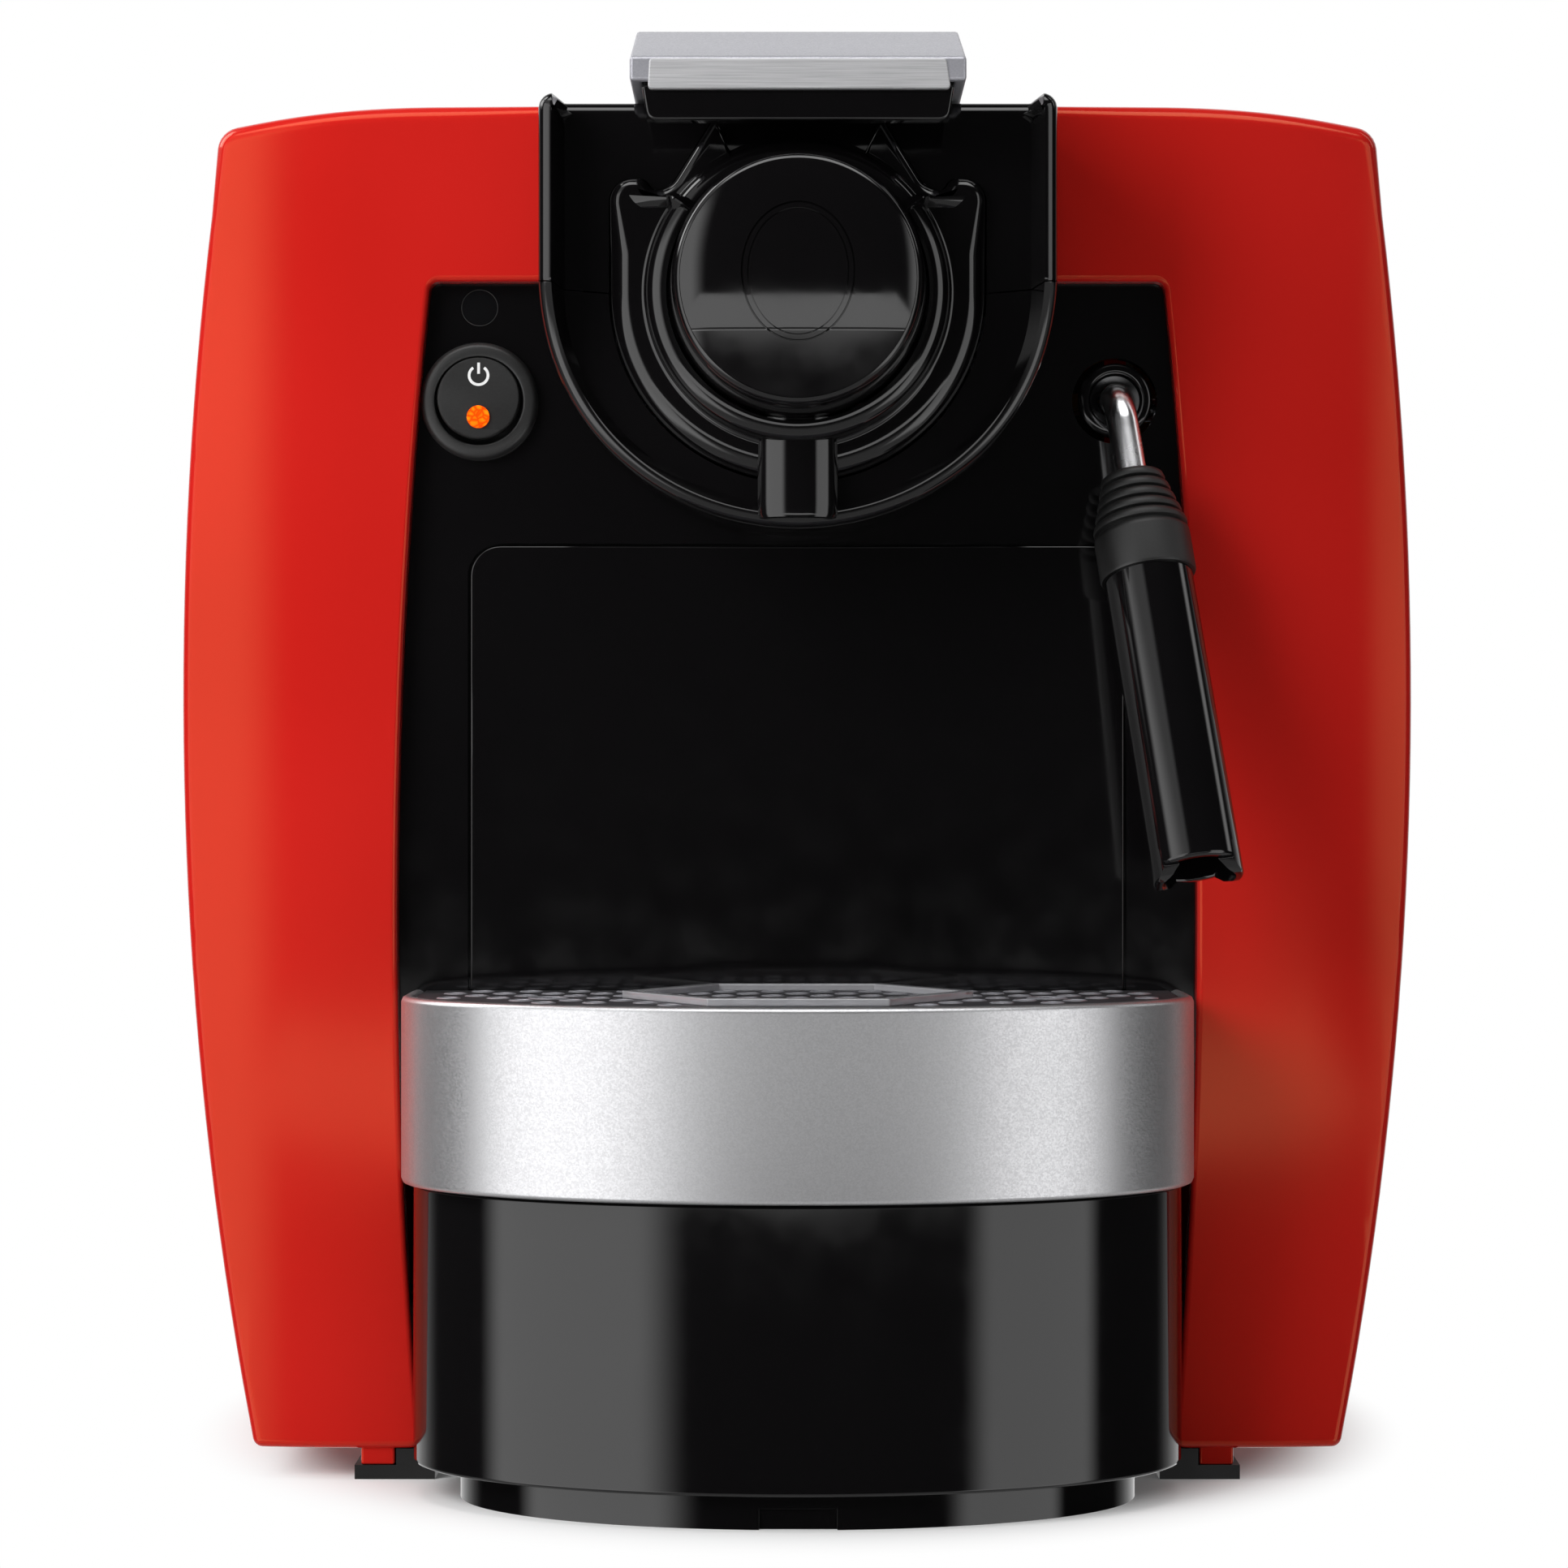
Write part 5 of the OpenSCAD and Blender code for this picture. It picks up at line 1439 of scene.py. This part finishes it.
@dataclass
class DripTray:
    """Silver drip ring, the pressed rims of the grille's holes in a lighter silver than the plate
    as painted highlight, and the clear cup rest.
    """

    top: float = 103.3
    rest_y: float = -116.0
    rear_y: float = -83.5
    hole_r: float = 1.75
    rows: int = 3
    columns: int = 8
    rear_clear: float = 6.0
    pitch: float = 10.2
    row_pitch: float = 8.8
    plan: Point2 = (74.0, 42.0)
    plan_y: float = -105.0

    def holes(self) -> list[Corner]:
        """Returns the place and radius of each drain hole."""
        found = []
        for row in range(-self.rows, self.rows + 1):
            for column in range(-self.columns, self.columns + 1):
                x = column * self.pitch + (self.pitch / 2 if row % 2 else 0)
                y = self.rest_y + row * self.row_pitch
                across, ahead = x / self.plan[0], min(0.0, y - self.plan_y) / self.plan[1]
                inside = math.hypot(across, ahead) < 1
                if inside and y < self.rear_y - self.rear_clear:
                    wide = row == 0 and abs(abs(x) - 5 * self.pitch) < 1
                    found.append((x, y, self.hole_r * (2 if wide else 1)))
        return found

    def rims(self) -> Thing:
        """Models the rims that the press leaves round the holes."""
        shape = Shape()
        for x, y, radius in self.holes():
            profile = [(radius + grow, rise) for grow, rise in (
                (0, -1.2), (0, 0.1), (0.15, 0.24), (0.4, 0.24), (0.7, 0.08), (0.9, -0.1),
                (0.9, -1.2))]
            shape.revolve(profile + profile[:1], Vector((x, y, self.top)), UP, 28)
        return solid(shape, "grille_hole_rims_with_painted_highlight")

    def build(self) -> None:
        """Models the rims, with a painted highlight in their lighter silver, and rounds the ring
        and the rest.
        """
        # The rims are pressed from the plate itself; their lighter silver than the plate's steel is
        # painted highlight on the hole edges.
        present(self.rims(), SATIN_SILVER, Body.GRILLE)
        ring = copied("drip_ring", "drip_ring_painted", 1.2, 50.0)
        present(ring, SILVER_PAINT, Body.TRAY, ("drip_ring",), 50.0)
        rest = copied("cup_rest", "cup_rest_clear", 0.35, 30.0)
        present(rest, CLEAR_REST, Body.GRILLE, ("cup_rest",), 30.0)


@dataclass
class PodDrawer:
    """Used-pod drawer, the base nose under it and a black block behind the nose's finger notch, as
    painted shade.
    """

    notch_half: float = 9.5
    notch_y: Point2 = (-145.1, -143.6)
    notch_z: Point2 = (0.1, 6.0)

    def build(self) -> None:
        """Rounds the edges of the drawer and the nose, and puts a black block behind the notch as
        painted shade.
        """
        for node, body, width in (("pod_drawer", Body.DRAWER, 1.4),
                                  ("base_nose", Body.CASING, 0.5)):
            piece = copied(node, node + "_moulded", width)
            present(piece, BLACK_ABS, body, (node,), 50.0)
        # Painted shade: a black block just behind the finger notch hides the lit floor, where the
        # notch's inside lies in shadow.
        plan = rectangle((-self.notch_half, self.notch_half), self.notch_y)
        back = Shape().block(plan, *self.notch_z)
        present(solid(back, "finger_notch_painted_shade"), BLACK_ABS, Body.CASING)


# ---------------------------------------------------------------- switch and lamps


@dataclass
class PowerSwitch:
    """Bezel, rocker, its lit lens and the standby sign printed on it."""

    x: float = -67.5
    z: float = 228.4
    lens_z: float = 248.4
    panel: float = -83.0
    pivot_y: float = -81.8
    button_r: float = 8.8
    button_rise: float = 5.2
    sign_rise: float = 4.7
    tilt: float = -7.0
    fall_start: float = -6.9
    fall_slope: float = 0.8
    sign_r: float = 2.0
    sign_line: float = 0.58

    def build(self) -> None:
        """Models the bezel, the rocker with its sign, and the ring round the lamp above it."""
        self.ring(((9.3, 3.0), (9.3, -2.5), (9.5, -2.95), (9.95, -3.15), (11.3, -2.95),
                   (11.9, -2.6),
                   (12.35, -1.9), (12.5, -1.1), (12.5, 3.0)), self.z, "switch_bezel_moulded", 96,
                  ("switch_bezel",))
        present(self.button(), SATIN_ABS, Body.ROCKER, ("rocker_button",), 30.0)
        self.sign()
        self.ring(((3.78, 0.3), (3.78, -0.02), (3.84, -0.05), (3.9, -0.02), (3.9, 0.3)),
                  self.lens_z,
                  "lamp_surround", 64)

    def ring(self, profile: Sequence[Point2], z: float, name: str, steps: int,
             replaces: Sequence[str] = ()) -> None:
        """Models a satin ring that stands on the panel.

        Args:
            profile: Its section, as radius and distance behind the panel's face.
            z: Height of its middle.
            name: Name of the piece.
            steps: Segments round it.
            replaces: Nodes of the frame that it stands for.
        """
        made = Shape().revolve([*profile, profile[0]], Vector((self.x, self.panel, z)), BACK, steps)
        present(solid(made, name), SATIN_ABS, Body.CASING, replaces)

    def seated(self, shape: Shape) -> Shape:
        """Tilts a shape as the rocker lies and carries it there."""
        shape.turn(Matrix.Rotation(math.radians(self.tilt), 4, "X"))
        return shape.turn(Matrix.Translation((self.x, self.pivot_y, self.z)))

    def button(self) -> Thing:
        """Models the round rocker, pressed in at the top and falling away below its lamp."""
        rows = ((0.93, 0.0), (0.965, 0.05), (0.99, 0.3), (1.0, 0.7), (1.0, 1.6), (0.965, 3.2),
                (0.86, 5.4))
        rings = [on_y(circle(self.button_r * share), depth - self.button_rise)
                 for share, depth in rows]
        shape = Shape().loft(rings, ends=(True, True)).clean()
        for z in (0.0, -0.6, self.fall_start, self.fall_start - 0.4):
            shape.split(UP * z, UP)

        def tipped(p: Vector) -> Vector:
            """Tips the part below the lamp back."""
            below = max(0.0, self.fall_start - p.z)
            return p + BACK * below * self.fall_slope if p.y < -self.button_rise + 1.5 else p

        return solid(self.seated(shape.shift(tipped)), "rocker_button_moulded")

    def sign(self) -> None:
        """Prints the standby sign on the rocker: an open ring and a bar in its gap."""
        half = self.sign_line / 2
        outer, inner = self.sign_r + half, self.sign_r - half
        ring = arc((0, 0), (outer, outer), 125, 415, 40) + arc((0, 0), (inner, inner), 415, 125, 40)
        shape = Shape()
        for outline in (ring, rectangle((-half, half), (0.35, 2.75))):
            shape.slab(outline, -0.05, 0.3)
        shape.turn(Matrix.Translation((0, -self.button_rise, self.sign_rise)))
        present(solid(self.seated(shape), "standby_sign"), WHITE_PRINT, Body.ROCKER)


# ---------------------------------------------------------------- studio


WHITE = (1.0, 1.0, 1.0, 1.0)


def ramp(tree: Tree, value: Socket, start: float, end: float, low: float = 0.0) -> Socket:
    """Returns a smooth step from a low value at the start to 1 at the end."""
    inputs = {"Value": value, "From Min": start, "From Max": end, "To Min": low}
    return add(tree, "MapRange", inputs, interpolation_type="SMOOTHSTEP").outputs["Result"]


def join(tree: Tree, a: Socket | float, b: Socket | float, how: str = "ADD") -> Socket:
    """Returns two values put together."""
    return add(tree, "Math", {0: a, 1: b}, operation=how).outputs[0]


def glow(tree: Tree, kind: str, strength: float | Socket) -> Socket:
    """Returns white light of a strength: an Emission or a Background."""
    return add(tree, kind, {"Color": WHITE, "Strength": strength}).outputs[0]


def blank(name: str) -> bpy.types.Material:
    """Returns a new material without nodes."""
    made = bpy.data.materials.new(name)
    made.use_nodes = True
    made.node_tree.nodes.clear()
    return made


@dataclass(frozen=True)
class Softbox:
    """Range of directions from which a soft light comes to the gloss, in degrees.

    The azimuth counts from the camera's side to the right, and the elevation upwards.
    """

    azimuth: Point2
    elevation: Point2
    level: float
    blur: float = 4.0

    def share(self, tree: Tree, azimuth: Socket, elevation: Socket) -> Socket:
        """Returns the light's level at a direction.

        Args:
            tree: Node tree of the world.
            azimuth: Azimuth of the direction.
            elevation: Its elevation.

        Returns:
            The level, which falls softly to 0 at the ends of the ranges.
        """
        share: Socket | float = self.level
        for value, (low, high) in ((azimuth, self.azimuth), (elevation, self.elevation)):
            for end, blur in ((low, self.blur), (high, -self.blur)):
                edge = ramp(tree, value, end - blur, end + blur)
                share = join(tree, share, edge, "MULTIPLY")
        return share


@dataclass(frozen=True)
class Lamp:
    """Area lamp that the gloss doesn't see; place and size are in millimetres, power in watts."""

    name: str
    place: Corner
    size: float
    power: float

    def build(self, aim: Corner) -> None:
        """Hangs the lamp so that it faces a point."""
        data = bpy.data.lights.new(self.name, "AREA")
        data.size = self.size * MM
        data.energy = self.power
        made = bpy.data.objects.new(self.name, data)
        made.location = Vector(self.place) * MM
        made.rotation_euler = (Vector(aim) - Vector(self.place)).to_track_quat("-Z", "Y").to_euler()
        made.visible_glossy = False
        bpy.context.scene.collection.objects.link(made)


# The large box at the front left in two layers, one at each side, one at the front right, the top
SOFTBOXES = (
    Softbox((-76, -26), (-40, 60), 0.8, 6.0),
    Softbox((-76, -26), (-40, 25), 1.4, 6.0),
    Softbox((-122, -90), (16, 60), 5.0),
    Softbox((95, 106), (16, 60), 1.8),
    Softbox((36, 71), (-40, 27), 1.8),
    Softbox((-60, 60), (50, 78), 4.0, 6.0),
)
LAMPS = (Lamp("key", (-480, -560, 480), 420, 4.5), Lamp("top", (-60, -80, 1000), 600, 5.0))


@dataclass
class Studio:
    """Camera, lights, backdrop and floor round the machine."""

    camera_mm: Corner = (-2.8, -947.0, 147.15)
    lens: float = 93.28
    sensor: float = 36.0
    aim: Corner = (0, 0, 120)
    ambient: float = 0.26
    dark_level: float = 0.022
    backdrop: float = 0.95
    backdrop_ramp: Point2 = (0.35, 0.85)
    ground_level: float = 0.5
    ground_ramp: Point2 = (-0.3, -0.6)
    floor_size: float = 4000.0
    floor_colour: str = "#F2F2F2"
    floor_roughness: float = 0.9
    shadow_radii: Corner = (125.0, 158.0, 1000.0)
    shadow_ramp: Corner = (0.85, 1.12, 0.06)
    card: Corner = (700.0, 850.0, 1650.0)
    card_level: float = 2.3

    def world(self) -> None:
        """Builds the surroundings: a white backdrop, a dark room in front, and soft lights."""
        world = bpy.data.worlds.new("studio")
        bpy.context.scene.world = world
        world.use_nodes = True
        tree = world.node_tree
        tree.nodes.clear()
        way = add(tree, "SeparateXYZ", {"Vector": add(tree, "TexCoord").outputs["Generated"]})
        x, y, z = (way.outputs[axis] for axis in "XYZ")
        turn = join(tree, x, join(tree, y, -1.0, "MULTIPLY"), "ARCTAN2")
        azimuth, elevation = (join(tree, angle, math.degrees(1.0), "MULTIPLY")
                              for angle in (turn, join(tree, z, 0.0, "ARCSINE")))
        total = join(tree, ramp(tree, y, *self.backdrop_ramp), self.backdrop, "MULTIPLY")
        total = join(tree, total, self.dark_level)
        below = join(tree, ramp(tree, z, *self.ground_ramp), self.ground_level, "MULTIPLY")
        total = join(tree, total, below, "MAXIMUM")
        for light in SOFTBOXES:
            total = join(tree, total, light.share(tree, azimuth, elevation))
        path = add(tree, "LightPath").outputs
        shiny = join(tree, path["Is Glossy Ray"], path["Is Transmission Ray"], "MAXIMUM")
        lit = add(tree, "MixShader", {0: shiny, 1: glow(tree, "Background", self.ambient),
                                      2: glow(tree, "Background", total)})
        seen = add(tree, "MixShader", {0: path["Is Camera Ray"], 1: lit.outputs[0],
                                       2: glow(tree, "Background", 1.0)})
        add(tree, "OutputWorld", {"Surface": seen.outputs[0]})

    def floor(self) -> None:
        """Lays a pale floor that takes the shadow and turns white away from the machine."""
        shape = Shape()
        bmesh.ops.create_grid(shape.bm, x_segments=1, y_segments=1, size=self.floor_size)
        floor = shape.to_object("floor")
        made = blank("floor")
        tree = made.node_tree
        shader = add(tree, "BsdfPrincipled",
                     {"Base Color": linear(self.floor_colour), "Roughness": self.floor_roughness})
        scale = tuple(1 / (r * MM) for r in self.shadow_radii)
        coords = add(tree, "TexCoord").outputs["Object"]
        place = add(tree, "Mapping", {"Vector": coords, "Scale": scale}).outputs["Vector"]
        reach = add(tree, "VectorMath", {0: place}, operation="LENGTH").outputs["Value"]
        seen = add(tree, "LightPath").outputs["Is Camera Ray"]
        share = join(tree, ramp(tree, reach, *self.shadow_ramp), seen, "MULTIPLY")
        mix = add(tree, "MixShader",
                  {0: share, 1: shader.outputs[0], 2: glow(tree, "Emission", 1.0)})
        add(tree, "OutputMaterial", {"Surface": mix.outputs[0]})
        floor.data.materials.append(made)
        floor.visible_glossy = False

    def reflector(self) -> None:
        """Lays a bright card on the ground in front, which only the gloss sees."""
        x, near, far = self.card
        rows = [[Vector((side, -y, 1)) for side in (-x, x)] for y in (near, far)]
        card = Shape().loft(rows, closed=False).to_object("reflector_card")
        made = blank("reflector_card")
        light = glow(made.node_tree, "Emission", self.card_level)
        add(made.node_tree, "OutputMaterial", {"Surface": light})
        card.data.materials.append(made)
        for ray in ("camera", "diffuse", "shadow", "transmission"):
            setattr(card, "visible_" + ray, False)

    def camera(self) -> None:
        """Sets up the camera in front, level and nearly central."""
        data = bpy.data.cameras.new("camera")
        data.lens = self.lens
        data.sensor_width = self.sensor
        made = bpy.data.objects.new("camera", data)
        made.location = Vector(self.camera_mm) * MM
        made.rotation_euler = (math.radians(90), 0, 0)
        bpy.context.scene.collection.objects.link(made)
        bpy.context.scene.camera = made

    def build(self) -> None:
        """Sets the scene up."""
        self.world()
        self.floor()
        self.reflector()
        self.camera()
        for lamp in LAMPS:
            lamp.build(self.aim)
        bpy.context.scene.view_settings.view_transform = "Standard"


# ---------------------------------------------------------------- the whole machine


# Nodes of the frame that are seen as they are, by finish
CARRIED: tuple[tuple[Finish, tuple[str, ...]], ...] = (
    (BLACK_ABS, ("front_panel", "lever_body")),
    (GRAINED_PP, ("base_plate", "rear_cover", "tank_bay", "tank_seat", "drip_tub", "pod_guide",
                  "pod_chute", "thermostats", "mains_inlet", "pump")),
    (SATIN_ABS, ("switch_body", "steam_knob")),
    (GRILLE_STEEL, ("drip_grille",)),
    (STEEL, ("screws", "lid_pin", "feed_tube", "steam_spindle", "steam_pipe", "group_frame",
             "shower_screen", "cross_pin", "lever_pin", "thermoblock_bracket")),
    (CAST_ALUMINIUM, ("thermoblock", "brew_chamber", "piston")),
    (BRASS, ("steam_valve",)),
    (RUBBER, ("feet", "pump_mounts", "tank_valve")),
    (RED_SILICONE, ("piston_seal",)),
    (HOSE_SILICONE, ("suction_hose", "pressure_hose")),
    (SMOKED_ACRYLIC, ("water_tank", "tank_lid")),
    (CIRCUIT_BOARD, ("control_board",)),
    (DARK_LENS, ("indicator_lens",)),
    (ORANGE_LENS, ("rocker_lens",)),
)


def dress_frame() -> None:
    """Gives the frame's own nodes their finishes."""
    for finish, nodes in CARRIED:
        for name in nodes:
            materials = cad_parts[name].data.materials
            materials.clear()
            materials.append(finish.build())


def main() -> None:
    """Builds the machine and the studio."""
    logging.basicConfig(level=logging.INFO, format="%(message)s")
    dress_frame()
    for part in (SideShells(), FrontPanel(), BrewGroup(), Lever(), SteamWand(), DripTray(),
                 PodDrawer(), PowerSwitch()):
        part.build()
    Studio().build()


if __name__ == "__main__":
    main()
